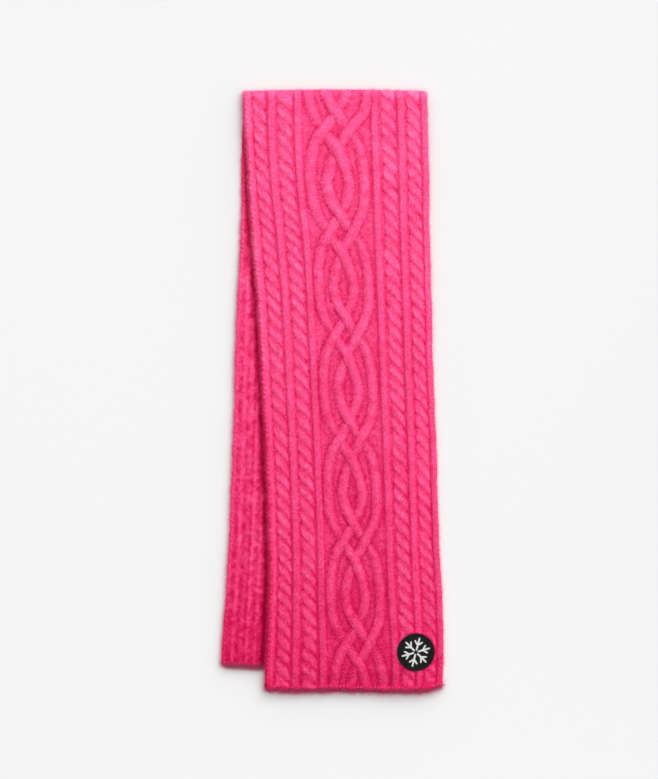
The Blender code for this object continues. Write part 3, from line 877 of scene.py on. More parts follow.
def past_braid(from_fold, across):
    """How far a place lies past the sides of the braid's strands. It is below 0 on a strand."""
    past = np.full(across.shape, 1.0)
    for path in [braid_path(pair) for pair in BRAID_PAIRS]:
        beside = np.abs(across - path(from_fold)[0]) / np.hypot(1.0, path_lean(path, from_fold))
        past = np.minimum(past, beside - 0.5 * BRAID_STRAND)
    return past


def paint_shade_near_braid(leaf, from_fold, across):
    """Paints shade on the ground close to the braid's strands, and inside the braid, where shade
    falls.
    """
    past = past_braid(from_fold, across).ravel()
    inside_braid = 1.0 - ease((np.abs(across.ravel()) - 0.008) / 0.010)
    shade_near_strands = 0.22 * (1.0 - ease(past / 0.0035)) + 0.16 * (1.0 - ease(past / 0.010))
    depth = np.zeros(len(leaf.data.vertices), dtype=np.float32)
    leaf.data.attributes["depth"].data.foreach_get("value", depth)
    depth[:past.size] -= shade_near_strands + 0.13 * inside_braid
    leaf.data.attributes["depth"].data.foreach_set("value", depth)


paint_shade_near_braid(front_leaf, ground_down, ground_across)


# ---- The back leaf -------------------------------------------------------------------------------
# The lower half of the same strip, which shows a wedge of its wrong side: purl bumps where the
# right side has its cables, and narrow knit ribs where that has its gutters. Its own cables face
# down, pressed flat on what the scarf lies on.

WRONG_RIB = 0.0007
WRONG_MARGIN = 0.0060        # the ribs rise this far outside the front leaf
CREASE = 0.0034              # how far the leaf sinks beside the front leaf's edge
CREASE_WIDTH = 0.0075
PUFF = 0.0008                # how far it swells where nothing lies on it
SHADED = 1.9                 # painted shade in the crease beside the front leaf's edge, over this width
SHADED_WIDTH = 0.0062
# how much paler a stitch is painted where it stands out, and darker where it sinks
WRONG_CONTRAST = 0.26
PUCKER_SHADE = 0.30          # painted shade in a pucker
RIB_BACK_SHADE = 0.20        # and on the deep backs of ribs, where shade falls
WRONG_SHADE = 0.11           # painted light: how much paler it is painted by the fold
WRONG_LOST_DOWN = 0.42       # how much of that is lost down the leaf
WRONG_LOST_EVENLY = 0.2      # and how much more for each metre
WRONG_LOST_LOW = 0.28        # and over its last stretch
WRONG_LOST_HEM = 0.07        # and just above the hem
WRONG_HEM_SHADE = 1.2        # and painted shade where the hem rolls under
UNCOVERED = -0.05            # the front leaf covers it on the right of this place across
UNDER_GUTTER = 0.0018        # how far its gutters stand off the floor
BACK_UNDER_ROWS = 2          # its underside has one row of faces for this many half rows
BACK_UNDER_COLUMNS = 120
BACK_BANDS = (
    Band("purl", -0.1260, 3, 0.0),
    Band("narrow", -0.1148, 1, WRONG_RIB),
    Band("purl", -0.1094, 4, 0.0),
    Band("narrow", -0.0954, 1, WRONG_RIB),
    Band("purl", -0.0898, 2, 0.0),
    Band("narrow", -0.0836, 1, WRONG_RIB),
    Band("purl", -0.0784, 5, 0.0),
    Band("narrow", -0.0600, 1, WRONG_RIB),
    Band("purl", -0.0544, 2, 0.0),
    Band("hidden", -0.0460, 14, 0.0),
    Band("edge", 0.1260, 0, 0.0),
)
PUCKER = 0.0008              # how deep a rope pulls in the wrong side at its crossings
PUCKER_WIDTH = 0.0012
PUCKER_LINES = ((-0.0036, 0.0), (0.0054, 2.4))           # places beside its middle, and phases
RIB_BACKS = ((-0.1180, 0.0022), (-0.0860, 0.0018))       # places across, and widths


def pucker(from_fold, across):
    """How hard the ropes' crossings pull at a place of the wrong side, from 0 to 1."""
    pull = np.zeros_like(across + from_fold)
    for rope in ROPES:
        slip = 0.001 * np.interp(from_fold, SLIP_STATIONS, rope.slips)
        beat = 2.0 * math.pi * (from_fold - ROPE_START - slip) / ROPE_PITCH
        for side, phase in PUCKER_LINES:
            line = np.exp(-((across - rope.middle - side) / PUCKER_WIDTH) ** 2)
            pull = pull + line * (0.25 + 0.75 * (0.5 + 0.5 * np.cos(beat + phase)) ** 2)
    return pull


def on_back(from_fold, across, height, depth):
    """Points of the back leaf's top, which rises outside the front leaf, and their tone and painted
    shade.
    """
    x, y = plan(BACK, from_fold, across)
    past = outside(FRONT, x, y)
    draw = past + 0.0011 * waver(3.1 * y, 9.0) * ease((0.02 - past) / 0.02)
    crease = np.exp(-((past - 0.003) / CREASE_WIDTH) ** 2)
    z = PRESSED + height * ease((past - WRONG_MARGIN) / WRONG_MARGIN) - CREASE * crease
    z = z + PUFF * ease((past - 0.008) / 0.015)
    z = z * rounding(across, BACK_LENGTH - from_fold)
    # painted shade in the crease beside the front leaf's edge
    shaded = SHADED * np.exp(-(np.maximum(0.0, draw) / SHADED_WIDTH) ** 2)
    shaded = shaded * (0.60 + 0.40 * ease((from_fold - 0.02) / 0.30))
    # painted light that falls off down the leaf, and painted shade where the hem rolls under
    lost = WRONG_LOST_DOWN * ease(from_fold / 1.1) + WRONG_LOST_EVENLY * from_fold
    lost = lost + WRONG_LOST_LOW * ease((from_fold - 0.62) / 0.18)
    lost = lost + WRONG_LOST_HEM * ease((from_fold - BACK_LENGTH + 0.020) / 0.012)
    lost = lost + WRONG_HEM_SHADE * (1.0 - ease((BACK_LENGTH - from_fold) / 0.0065))
    return np.stack([x, y, z], axis=-1), depth + WRONG_SHADE - shaded - lost


def make_back_leaf():
    """The wrong side above, and below it the flat faces of its own cables and ribs."""
    down, from_fold, across, height, depth, stitches, uneven = lay_rows(
        BACK_BANDS, SEAM_GAP, BACK_LENGTH, BACK_UNDER_ROWS, 6, 0.5)
    pull = pucker(from_fold, across)
    stitches = stitches - PUCKER * pull
    rib_back = sum(np.exp(-((across - middle) / width) ** 2) for middle, width in RIB_BACKS)
    patchy = fine_noise(across.shape, 16, 4) * inside_ends(down, SEAM_GAP, BACK_LENGTH)
    shade = depth + 0.14 + WRONG_CONTRAST * stitches / STITCH_RELIEF + 0.08 * uneven
    # painted shade in puckers and on the backs of ribs, with a random tone
    shade = shade + 0.11 * patchy - PUCKER_SHADE * pull - RIB_BACK_SHADE * rib_back
    top, shade = on_back(from_fold, across, height + stitches + UNEVEN_RELIEF * uneven, shade)
    nap = 1.0 * (across < UNCOVERED)
    fringes = fringe(BACK, from_fold, across) * nap
    hem = hem_fringe(BACK, from_fold) * nap

    rows_kept = list(range(0, across.shape[0], BACK_UNDER_ROWS))
    under_across = np.linspace(-0.5 * STRIP_WIDTH, 0.5 * STRIP_WIDTH, BACK_UNDER_COLUMNS + 1)
    under_down = np.broadcast_to(down[rows_kept], (len(rows_kept), under_across.size))
    under_across = np.broadcast_to(under_across, under_down.shape)
    past = past_braid(under_down, under_across)
    for rope in ROPES:
        past = np.minimum(past, np.abs(under_across - rope.middle) - 0.5 * rope.width)
    crown = round_top(np.clip(past + 0.0030, 0.0, 0.0030), 0.0030)
    for band, after in zip(FRONT_BANDS, FRONT_BANDS[1:]):
        if band.kind == "knit":
            half_width = 0.5 * (after.start - band.start)
            crown = np.maximum(crown, round_top(under_across - band.start - half_width, half_width))
    x, y = plan(BACK, under_down, under_across)
    edge = np.minimum(0.5 * STRIP_WIDTH - np.abs(under_across),
                      np.minimum(BACK_LENGTH - under_down, under_down))
    z = UNDER_GUTTER * (1.0 - ease(crown / 0.8)) * ease(edge / 0.004)
    under = np.stack([x, y, z], axis=-1)

    # its underside is painted darker in the gutters between its cables and ribs, where shade falls
    values = {"depth": shade, "nap": nap, "fringe": fringes, "hem": hem}
    return make_sheet("back_leaf_knit", top, under, values, 0.1 + 0.6 * crown,
                      [(row, j) for j, row in enumerate(rows_kept)],
                      [(0, 0), (across.shape[1] - 1, BACK_UNDER_COLUMNS)])


back_leaf = make_back_leaf()
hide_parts("back_leaf")
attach(back_leaf, "root")


# ---- The edge stitches and the hems --------------------------------------------------------------
# Down both edges runs a chain of slipped stitches, two rows each, that slants. The hems are bound
# off, and each wale ends there in a small loop. All are of the strip's own yarn.

EDGE_STITCH_PITCH = 0.0066
EDGE_SLANT = 0.5             # how far the stitches turn away from the edge
BACK_EDGE_SLANT = 0.45
HEM_LOOP_PITCH = 0.0048
HEM_SLANT = 1.35             # the loops stand almost straight across the hem


def make_lines(name, lines):
    """An object of polylines, with a slant and a painted shade at each point."""
    points, edges, slants, brushed = [], [], [], []
    # each line's third value is the painted light and shade of its stitches
    for line, slant, nap in lines:
        first = len(points)
        points += line.tolist()
        slants += [slant] * len(line)
        brushed += nap.tolist()
        edges += [(first + i, first + i + 1) for i in range(len(line) - 1)]
    data = bpy.data.meshes.new(name)
    data.from_pydata(points, edges, [])
    for value_name, values in (("slant", slants), ("brushed", brushed)):
        attribute = data.attributes.new(value_name, "FLOAT", "POINT")
        attribute.data.foreach_set("value", np.array(values, dtype=np.float32))
    return make_object(name, data)


def start_tree(name, inputs):
    """A geometry tree with its named inputs, and a short way to add and join its nodes.

    A node's sockets are given by name, or as n0, n1 and so on by their number.
    """
    tree = bpy.data.node_groups.new(name, "GeometryNodeTree")
    tree.interface.new_socket("Geometry", in_out="INPUT", socket_type="NodeSocketGeometry")
    for input_name, kind in inputs:
        tree.interface.new_socket(input_name, in_out="INPUT", socket_type=kind)
    tree.interface.new_socket("Geometry", in_out="OUTPUT", socket_type="NodeSocketGeometry")

    def add(kind, properties=None, **values):
        node = tree.nodes.new(kind)
        for property_name, value in (properties or {}).items():
            setattr(node, property_name, value)
        for socket_name, value in values.items():
            key = socket_name.replace("_", " ")
            if socket_name[0] == "n" and socket_name[1:].isdigit():
                key = int(socket_name[1:])
            socket = node.inputs[key]
            if isinstance(value, bpy.types.NodeSocket):
                tree.links.new(value, socket)
            else:
                socket.default_value = value
        return node

    return tree, add, tree.nodes.new("NodeGroupInput"), tree.nodes.new("NodeGroupOutput")


def grow(name, base, tree, values):
    """The plain mesh that a tree makes from an object, which is then removed."""
    modifier = base.modifiers.new("grow", "NODES")
    modifier.node_group = tree
    for item in tree.interface.items_tree:
        if item.in_out == "INPUT" and item.name in values:
            modifier[item.identifier] = values[item.name]
    graph = bpy.context.evaluated_depsgraph_get()
    data = bpy.data.meshes.new_from_object(base.evaluated_get(graph))
    data.name = name
    base.modifiers.remove(modifier)
    bpy.data.objects.remove(base)
    return make_object(name, data)


def between(add, given, low, high):
    """A random number for each point."""
    return add("FunctionNodeRandomValue", {"data_type": "FLOAT"}, n2=low, n3=high,
               Seed=given.outputs["Seed"]).outputs[1]


def read_value(add, name):
    """The value of a name that the points carry."""
    return add("GeometryNodeInputNamedAttribute", {"data_type": "FLOAT"}, Name=name).outputs[0]


def keep_value(add, geometry, name, value):
    """The geometry, whose points carry a value of a name."""
    return add("GeometryNodeStoreNamedAttribute", {"data_type": "FLOAT"}, Geometry=geometry,
               Name=name, Value=value).outputs["Geometry"]


def stitch_tree():
    """Plump stitches at even steps along lines, each turned by the line's slant, in painted shade.
    """
    tree, add, given, out = start_tree("stitches_along_a_line", (
        ("Pitch", "NodeSocketFloat"), ("Length", "NodeSocketFloat"), ("Width", "NodeSocketFloat"),
        ("Thickness", "NodeSocketFloat"), ("Seed", "NodeSocketInt"),
        ("Material", "NodeSocketMaterial")))
    curve = add("GeometryNodeMeshToCurve", Mesh=given.outputs["Geometry"])
    steps = add("GeometryNodeResampleCurve", {"mode": "LENGTH"}, Curve=curve.outputs["Curve"],
                Length=given.outputs["Pitch"])
    ball = add("GeometryNodeMeshIcoSphere", Radius=0.5, Subdivisions=2)
    size = add("ShaderNodeCombineXYZ", X=given.outputs["Length"], Y=given.outputs["Width"],
               Z=given.outputs["Thickness"])
    stitch = add("GeometryNodeTransform", Geometry=ball.outputs["Mesh"], Scale=size.outputs[0])
    place = add("GeometryNodeInputPosition")
    place = add("ShaderNodeSeparateXYZ", Vector=place.outputs[0])
    # painted shade: each stitch is darker towards its underside
    share = calculate(tree, "DIVIDE", place.outputs["Z"], given.outputs["Thickness"])
    depth = calculate(tree, "MULTIPLY_ADD", share, 0.9, 0.35)
    stitch = keep_value(add, stitch.outputs["Geometry"], "depth", depth)
    along = add("GeometryNodeInputTangent")
    turn = add("FunctionNodeAlignRotationToVector", {"axis": "X"}, Vector=along.outputs[0])
    turn = add("FunctionNodeAlignRotationToVector", {"axis": "Z", "pivot_axis": "X"},
               Rotation=turn.outputs[0], Vector=(0.0, 0.0, 1.0))
    slant = calculate(tree, "ADD", read_value(add, "slant"), between(add, given, -0.12, 0.12))
    spin = add("ShaderNodeCombineXYZ", Z=slant)
    spin = add("FunctionNodeEulerToRotation", n0=spin.outputs[0])
    turn = add("FunctionNodeRotateRotation", {"rotation_space": "LOCAL"}, n0=turn.outputs[0],
               n1=spin.outputs[0])
    stitches = add("GeometryNodeInstanceOnPoints", Points=steps.outputs["Curve"], Instance=stitch,
                   Rotation=turn.outputs[0], Scale=between(add, given, 0.70, 1.20))
    real = add("GeometryNodeRealizeInstances", Geometry=stitches.outputs["Instances"])
    # and the line's painted light and shade, kept as brushed
    shade = calculate(tree, "ADD", read_value(add, "depth"), read_value(add, "brushed"))
    shaded = keep_value(add, real.outputs["Geometry"], "depth", shade)
    soft = add("GeometryNodeSetShadeSmooth", Geometry=shaded)
    dyed = add("GeometryNodeSetMaterial", Geometry=soft.outputs["Geometry"],
               Material=given.outputs["Material"])
    tree.links.new(dyed.outputs["Geometry"], out.inputs["Geometry"])
    return tree


stitches_along_a_line = stitch_tree()


def front_line(from_fold, across, height, slant, brushed):
    """A line on the front leaf for stitches to sit on, with the leaf's painted light and shade."""
    from_fold, across = np.broadcast_arrays(np.asarray(from_fold, float), np.asarray(across, float))
    return on_front(from_fold, across, height, height), slant, painted_light_and_shade(from_fold, across) + brushed


def back_line(from_fold, across, height, slant, brushed):
    """A line on the back leaf for stitches to sit on, with the leaf's painted light and shade."""
    from_fold, across = np.broadcast_arrays(np.asarray(from_fold, float), np.asarray(across, float))
    points, depth = on_back(from_fold, across, height, brushed)
    return points, slant, depth


down = np.arange(0.004, FRONT_LENGTH - 0.004, 0.003)
back_down = np.arange(0.012, BACK_LENGTH - 0.004, 0.003)
sideways = np.arange(-0.1215, 0.1216, 0.003)
edge_stitches = grow("edge_stitches", make_lines("edge_lines", [
    front_line(down, -0.1215, GROUND + 0.0013, EDGE_SLANT, 0.15),
    front_line(down, 0.1222, GROUND + 0.0010, EDGE_SLANT, 0.0),
    back_line(back_down, -0.1232, -0.0002, BACK_EDGE_SLANT, 0.0),
]), stitches_along_a_line, {"Pitch": EDGE_STITCH_PITCH, "Length": 0.0086, "Width": 0.0046,
                            "Thickness": 0.0024, "Seed": 3, "Material": pink_wool})
hem_loops = grow("hem_loops", make_lines("hem_lines", [
    front_line(FRONT_LENGTH - 0.0070, sideways, GROUND + 0.0004, HEM_SLANT, 0.15),
    back_line(BACK_LENGTH - 0.0055, sideways, -0.0002, HEM_SLANT, 0.1),
]), stitches_along_a_line, {"Pitch": HEM_LOOP_PITCH, "Length": 0.0050, "Width": 0.0036,
                            "Thickness": 0.0022, "Seed": 4, "Material": pink_wool})
for piece in (edge_stitches, hem_loops):
    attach(piece, "root")


# ---- The nap -------------------------------------------------------------------------------------
# Fine loose fibres that brushing has raised all over the knitting. They stand thickest along the
# edges, where they blur the outline.

NAP_LENGTH = 0.0048
FRINGE_LENGTH = 0.0058
HEM_FLUFF_LENGTH = 0.0075
NAP_THICKNESS = 0.00012

# The pieces that carry a nap, the name of the value that says where it stands, its fibres to the
# square metre, their length, the furthest that they lean, in radians, their shade and their seed.
Nap = namedtuple("Nap", "name carriers where density length lie shade seed")
NAPS = (
    Nap("front_nap", (front_leaf, front_ropes, front_braid), "nap", 135000.0, NAP_LENGTH,
        1.2, 0.40, 7),
    Nap("back_nap", (back_leaf,), "nap", 150000.0, NAP_LENGTH, 1.2, 0.40, 8),
    # The front's fringe is painted darker than the back's, as it hangs over the shaded crease.
    Nap("front_fringe", (front_leaf,), "fringe", 1300000.0, FRINGE_LENGTH, 0.9, 0.65, 9),
    Nap("back_fringe", (back_leaf,), "fringe", 1300000.0, FRINGE_LENGTH, 0.9, 0.85, 10),
    # The hem's fluff is painted greyer, as fibres hanging in shadow.
    Nap("hem_fluff", (front_leaf, back_leaf), "hem", 4200000.0, HEM_FLUFF_LENGTH, 0.7, -1.9, 11),
)


def nap_tree():
    """Pointed fibres scattered over a collection of cloth, as a value at its points asks, in its
    painted shade.
    """
    tree, add, given, out = start_tree("brushed_nap", (
        ("Cloth", "NodeSocketCollection"), ("Where", "NodeSocketString"),
        ("Density", "NodeSocketFloat"), ("Length", "NodeSocketFloat"),
        ("Thickness", "NodeSocketFloat"), ("Lie", "NodeSocketFloat"), ("Shade", "NodeSocketFloat"),
        ("Seed", "NodeSocketInt"), ("Material", "NodeSocketMaterial")))
    cloth = add("GeometryNodeCollectionInfo", Collection=given.outputs["Cloth"])
    cloth = add("GeometryNodeRealizeInstances", Geometry=cloth.outputs["Instances"])
    density = calculate(tree, "MULTIPLY", read_value(add, given.outputs["Where"]),
                        given.outputs["Density"])
    scattered = add("GeometryNodeDistributePointsOnFaces", {"distribute_method": "RANDOM"},
                    Mesh=cloth.outputs["Geometry"], Density=density, Seed=given.outputs["Seed"])
    shade = calculate(tree, "ADD", between(add, given, -0.28, 0.28), given.outputs["Shade"])
    shade = calculate(tree, "MULTIPLY_ADD", read_value(add, "depth"), 0.7, shade)
    roots = keep_value(add, scattered.outputs["Points"], "depth", shade)
    fibre = add("GeometryNodeMeshCone", {"fill_type": "NONE"}, Vertices=3, Side_Segments=1,
                Radius_Top=0.0, Radius_Bottom=given.outputs["Thickness"],
                Depth=given.outputs["Length"])
    least = calculate(tree, "MULTIPLY", given.outputs["Lie"], -1.0)
    low = add("ShaderNodeCombineXYZ", X=least, Y=least, Z=0.0)
    high = add("ShaderNodeCombineXYZ", X=given.outputs["Lie"], Y=given.outputs["Lie"], Z=6.283)
    tilt = add("FunctionNodeRandomValue", {"data_type": "FLOAT_VECTOR"}, n0=low.outputs[0],
               n1=high.outputs[0], Seed=given.outputs["Seed"])
    tilt = add("FunctionNodeEulerToRotation", n0=tilt.outputs[0])
    turn = add("FunctionNodeRotateRotation", {"rotation_space": "LOCAL"},
               n0=scattered.outputs["Rotation"], n1=tilt.outputs[0])
    fibres = add("GeometryNodeInstanceOnPoints", Points=roots, Instance=fibre.outputs["Mesh"],
                 Rotation=turn.outputs[0], Scale=between(add, given, 0.45, 1.25))
    real = add("GeometryNodeRealizeInstances", Geometry=fibres.outputs["Instances"])
    place = add("GeometryNodeInputPosition")
    place = add("ShaderNodeSeparateXYZ", Vector=place.outputs[0])
    height = calculate(tree, "MAXIMUM", place.outputs["Z"], 0.0003)
    above = add("ShaderNodeCombineXYZ", X=place.outputs["X"], Y=place.outputs["Y"], Z=height)
    laid = add("GeometryNodeSetPosition", Geometry=real.outputs["Geometry"],
               Position=above.outputs[0])
    done = add("GeometryNodeSetMaterial", Geometry=laid.outputs["Geometry"],
               Material=given.outputs["Material"])
    tree.links.new(done.outputs["Geometry"], out.inputs["Geometry"])
    return tree


brushed_nap = nap_tree()
nap_wool = wool_material("nap_wool", (
    (-2.0, (0.58, 0.085, 0.21)),
    (-1.0, (0.40, 0.0, 0.04)),
    (0.0, (0.74, 0.020, 0.12)),
    (0.5, (0.91, 0.065, 0.22)),
    (1.0, (1.0, 0.140, 0.35)),
    (1.5, (1.0, 0.26, 0.50)),
), 0.0)


def make_nap(nap):
    """The fibres of one nap, on the pieces that carry it."""
    cloth = bpy.data.collections.new(nap.name)
    for carrier in nap.carriers:
        cloth.objects.link(carrier)
    base = make_object(nap.name + "_base", bpy.data.meshes.new(nap.name))
    fibres = grow(nap.name, base, brushed_nap, {
        "Cloth": cloth, "Where": nap.where, "Density": nap.density, "Length": nap.length,
        "Thickness": NAP_THICKNESS, "Lie": nap.lie, "Shade": nap.shade, "Seed": nap.seed,
        "Material": nap_wool})
    bpy.data.collections.remove(cloth)
    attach(fibres, "root")
    return fibres


front_nap, back_nap, front_fringe, back_fringe, hem_fluff = [make_nap(nap) for nap in NAPS]


# ---- The badge -----------------------------------------------------------------------------------
# A round patch of black twill, bound with black thread and sewn flat on the pressed cables near one
# corner. Its white snowflake is embroidered in satin stitch.

BADGE_THICK = 0.0012
TWILL_PITCH = 0.0008
BINDING_THREAD = 0.0005
SATIN_THREAD = 0.00055       # the pitch of a satin bar's threads
SATIN_DOME = 0.00055
SATIN_ENDS = 0.72            # share of its width that a bar has at its ends
SNOWFLAKE_TURN = 15.0        # in degrees
BINDING_AT = 0.966           # share of the badge's radius
BINDING_SLANT = 1.25

# The bars of one arm of the snowflake, from the badge's middle outwards, as shares of its radius.
SatinBar = namedtuple("SatinBar", "start end width")
SNOWFLAKE_ARM = (
    SatinBar((0.10, 0.0), (0.78, 0.0), 0.052),
    SatinBar((0.40, 0.03), (0.60, 0.22), 0.046),
    SatinBar((0.40, -0.03), (0.60, -0.22), 0.046),
)


def badge_seat(x, y):
    """Height of the cloth that the badge lies on."""
    from_fold = FOLD_FROM_ORIGIN - y
    middle = FOLD_MIDDLE + through(FRONT.outline, from_fold, "lean")
    across = 0.5 * STRIP_WIDTH * (x - middle) / through(FRONT.outline, from_fold, "half_width")
    return front_underside(x, y) + GROUND + BADGE_BED + edge_lift(from_fold, across) + 0.0001


def twill_group():
    """Diagonal ridges of a twill weave, broken up where its threads cross, with uneven wear."""
    group, given, place = start_group("twill_weave", (("Pitch", 0.001), ("Bump height", 0.0003)))

    def ridges(direction, pitch_share, height):
        along = group.nodes.new("ShaderNodeVectorMath")
        along.operation = "DOT_PRODUCT"
        along.inputs[1].default_value = direction
        group.links.new(place, along.inputs[0])
        pitch = calculate(group, "MULTIPLY", given.outputs["Pitch"], pitch_share)
        turns = calculate(group, "DIVIDE", along.outputs["Value"], pitch)
        wave = calculate(group, "SINE", calculate(group, "MULTIPLY", turns, 2.0 * math.pi))
        return calculate(group, "MULTIPLY", wave, height)

    worn = group.nodes.new("ShaderNodeTexNoise")
    worn.inputs["Scale"].default_value = 420.0
    worn.inputs["Detail"].default_value = 3.0
    group.links.new(place, worn.inputs["Vector"])
    diagonal = ridges((0.866, 0.5, 0.0), 1.0, 0.32)
    crossing = ridges((0.0, 1.0, 0.0), 0.5, 0.12)
    ridge = calculate(group, "ADD", diagonal, crossing)
    ridge = calculate(group, "ADD", ridge, worn.outputs[0])
    # the ridges are also put out as the shade, which paints the threads darker between them
    end_group(group, given, ridge, ridge, 0.5)
    return group


twill_weave = twill_group()


def woven_material(name, dark, light, pitch, roughness, sheen):
    """Smooth thread, painted darker between the threads, where shade falls, and lighter on their
    ridges.
    """
    return shade_ramp_material(name, twill_weave, {"Pitch": pitch}, {
        "Roughness": roughness, "Specular IOR Level": 0.12, "Sheen Weight": sheen,
        "Sheen Roughness": 0.4}, ((0.15, dark), (0.95, light)))[0]


black_twill = woven_material("black_twill", (0.003, 0.003, 0.0035), (0.014, 0.014, 0.015),
                             TWILL_PITCH, 0.8, 0.02)
black_thread = woven_material("black_thread", (0.003, 0.003, 0.0035), (0.018, 0.018, 0.020),
                              BINDING_THREAD, 0.6, 0.05)
white_thread = woven_material("white_thread", (0.52, 0.52, 0.54), (0.90, 0.90, 0.91),
                              SATIN_THREAD, 0.5, 0.1)


def round_badge(share, turns, height):
    """Points round the badge at a share of its radius, at a height over the cloth."""
    x = BADGE_MIDDLE[0] + BADGE_RADIUS * share * np.cos(turns)
    y = BADGE_MIDDLE[1] + BADGE_RADIUS * share * np.sin(turns)
    return np.stack([x, y, badge_seat(x, y) + height], axis=-1)


def make_patch():
    """The twill disc, with a rolled rim, on the cloth that it lies on."""
    around = 96
    radii = [*np.linspace(0.06, 0.94, 18), 0.965, 0.985, 0.997, 1.0]
    heights = [BADGE_THICK] * 19 + [0.9 * BADGE_THICK, 0.7 * BADGE_THICK, 0.4 * BADGE_THICK]
    turns = np.linspace(0.0, 2.0 * math.pi, around, endpoint=False)
    rings = [round_badge(share, turns, height) for share, height in zip(radii, heights)]
    rings += [round_badge(share, turns, 0.0) for share in radii[::-3]]
    points = np.concatenate(rings)
    faces = tube_faces(np.arange(len(points)).reshape(len(rings), around))
    return make_piece("badge_patch", points, faces, {}, black_twill)


def make_snowflake():
    """Six arms of satin bars: domed strips of threads that lie across each bar, closed below."""
    points, faces, first = [], [], 0
    profile = np.linspace(-1.0, 1.0, 7)
    for arm in range(6):
        turn = math.radians(60.0 * arm + SNOWFLAKE_TURN)
        way = np.array([[math.cos(turn), math.sin(turn)], [-math.sin(turn), math.cos(turn)]])
        for bar in SNOWFLAKE_ARM:
            start, end = np.array(bar.start) @ way, np.array(bar.end) @ way
            length = BADGE_RADIUS * np.linalg.norm(end - start)
            count = 2 * max(3, round(length / SATIN_THREAD)) + 1
            t = np.linspace(0.0, 1.0, count)[:, None]
            side = np.array([start[1] - end[1], end[0] - start[0]]) / np.linalg.norm(end - start)
            thread = (np.arange(count) % 2)[:, None]
            tapered = SATIN_ENDS + (1.0 - SATIN_ENDS) * round_top(2.0 * t - 1.0, 1.0)
            tapered = bar.width * tapered * (0.94 + 0.06 * thread)
            xy = (start + (end - start) * t)[:, None, :] + (tapered * profile)[..., None] * side
            xy = np.array(BADGE_MIDDLE) + BADGE_RADIUS * xy
            dome = SATIN_DOME * round_top(profile, 1.02) * (0.80 + 0.20 * thread)
            z = badge_seat(xy[..., 0], xy[..., 1]) + BADGE_THICK + dome
            top = np.concatenate([xy, z[..., None]], axis=-1)
            low = top.copy()
            low[..., 2] = badge_seat(low[..., 0], low[..., 1]) + 0.6 * BADGE_THICK
            ring = np.concatenate([top, low[:, ::-1]], axis=1)
            numbers = first + np.arange(ring[..., 0].size).reshape(ring.shape[:2])
            faces += tube_faces(numbers)
            points.append(ring.reshape(-1, 3))
            first += numbers.size
    return make_piece("badge_snowflake", np.concatenate(points), faces, {}, white_thread)


def badge_ring(share, height, slant):
    """A line round the badge for stitches to sit on."""
    turns = np.linspace(0.0, 2.0 * math.pi, 181)
    return round_badge(share, turns, height), slant, 0.0 * turns


badge = make_patch()
snowflake = make_snowflake()
badge_binding = grow("badge_binding", make_lines("binding_line", [
    badge_ring(BINDING_AT, BADGE_THICK, BINDING_SLANT)]), stitches_along_a_line, {
        "Pitch": 0.00085, "Length": 0.0030, "Width": 0.0010, "Thickness": 0.0009, "Seed": 5,
        "Material": black_thread})
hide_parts("badge")
for piece in (badge, snowflake, badge_binding):
    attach(piece, "root")


# ---- The surface, the light and the camera -------------------------------------------------------
# The scarf lies on a wide, pale card. The light is soft and comes from all round, a little more
# from beyond the fold and the right, and the camera looks straight down.

FLOOR_HALF = 6.0
FLOOR_TONES = (0.67, 0.88)   # the darkest and the palest that it gets
FLOOR_TONE = 0.801           # in its middle, and how that changes for each metre
FLOOR_ACROSS = -0.085
FLOOR_ALONG = -0.101
FLOOR_BOTH = -0.099
SKY_STRENGTH = 0.97
SKY_SLOPE = (0.42, 0.54, 0.0)
LIGHT_PLACE = (0.85, 1.1, 1.2)
LIGHT_TARGET = (0.0, 0.05, 0.0)
LIGHT_SIZE = 0.9
LIGHT_POWER = 10.0
LENS = 100.0
SENSOR = 36.0
PIXEL = 0.0014               # what one of the picture's pixels shows
FRAME_HEIGHT = 779 * PIXEL

corners = [(-FLOOR_HALF, -FLOOR_HALF, 0.0), (FLOOR_HALF, -FLOOR_HALF, 0.0),
           (FLOOR_HALF, FLOOR_HALF, 0.0), (-FLOOR_HALF, FLOOR_HALF, 0.0)]
floor_data = bpy.data.meshes.new("floor")
floor_data.from_pydata(corners, [], [(0, 1, 2, 3)])
floor = make_object("floor", floor_data)


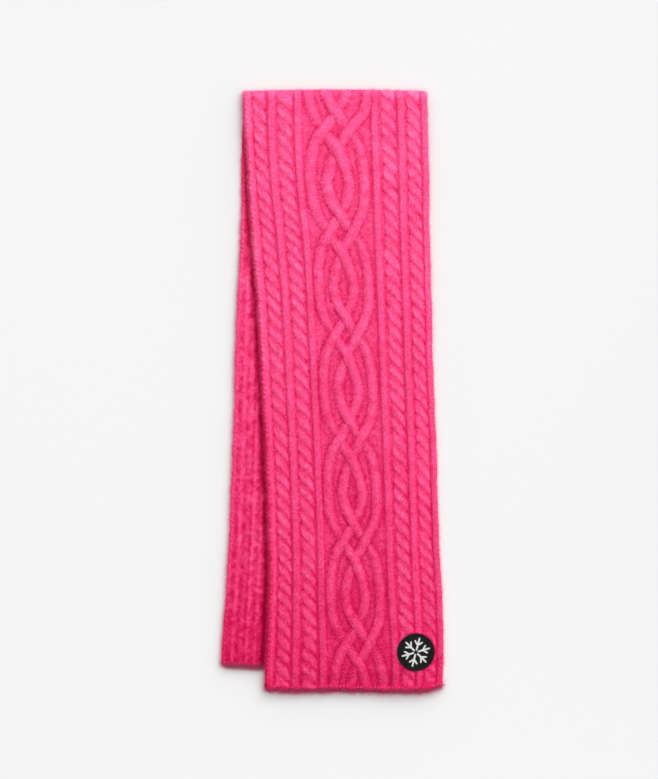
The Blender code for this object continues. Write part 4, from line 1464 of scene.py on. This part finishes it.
def card_material():
    """Matt card, a little darker towards the light, so that it looks even."""
    material = bpy.data.materials.new("pale_floor")
    material.use_nodes = True
    tree = material.node_tree
    shader = tree.nodes["Principled BSDF"]
    shader.inputs["Roughness"].default_value = 0.9
    shader.inputs["Specular IOR Level"].default_value = 0.1
    spot = tree.nodes.new("ShaderNodeTexCoord")
    place = tree.nodes.new("ShaderNodeSeparateXYZ")
    tree.links.new(spot.outputs["Object"], place.inputs[0])
    slope = calculate(tree, "MULTIPLY_ADD", place.outputs["Y"], FLOOR_BOTH, FLOOR_ACROSS)
    middle = calculate(tree, "MULTIPLY_ADD", place.outputs["Y"], FLOOR_ALONG, FLOOR_TONE)
    tone = calculate(tree, "MULTIPLY_ADD", place.outputs["X"], slope, middle)
    even = tree.nodes.new("ShaderNodeClamp")
    even.inputs["Min"].default_value, even.inputs["Max"].default_value = FLOOR_TONES
    tree.links.new(tone, even.inputs["Value"])
    tree.links.new(even.outputs[0], shader.inputs["Base Color"])
    return material


floor_data.materials.append(card_material())

world = bpy.data.worlds.new("studio")
world.use_nodes = True
studio = world.node_tree
background = studio.nodes["Background"]
background.inputs["Color"].default_value = (1.0, 1.0, 1.0, 1.0)
sky = studio.nodes.new("ShaderNodeTexCoord")
side_light = studio.nodes.new("ShaderNodeVectorMath")
side_light.operation = "DOT_PRODUCT"
side_light.inputs[1].default_value = SKY_SLOPE
studio.links.new(sky.outputs["Generated"], side_light.inputs[0])
strength = calculate(studio, "ADD", side_light.outputs["Value"], SKY_STRENGTH)
studio.links.new(strength, background.inputs["Strength"])
bpy.context.scene.world = world

light_data = bpy.data.lights.new("key", "AREA")
light_data.size = LIGHT_SIZE
light_data.energy = LIGHT_POWER
light = make_object("key", light_data)
light.location = LIGHT_PLACE
way = np.array(LIGHT_TARGET) - np.array(LIGHT_PLACE)
tilt = math.atan2(math.hypot(way[0], way[1]), -way[2])
light.rotation_euler = (tilt, 0.0, math.atan2(way[1], way[0]) - 0.5 * math.pi)

camera_data = bpy.data.cameras.new("camera")
camera_data.lens = LENS
camera_data.sensor_width = SENSOR
camera = make_object("camera", camera_data)
camera.location = (-3.5 * PIXEL, PIXEL, FRAME_HEIGHT * LENS / SENSOR)
bpy.context.scene.camera = camera
bpy.context.scene.view_settings.view_transform = "Standard"
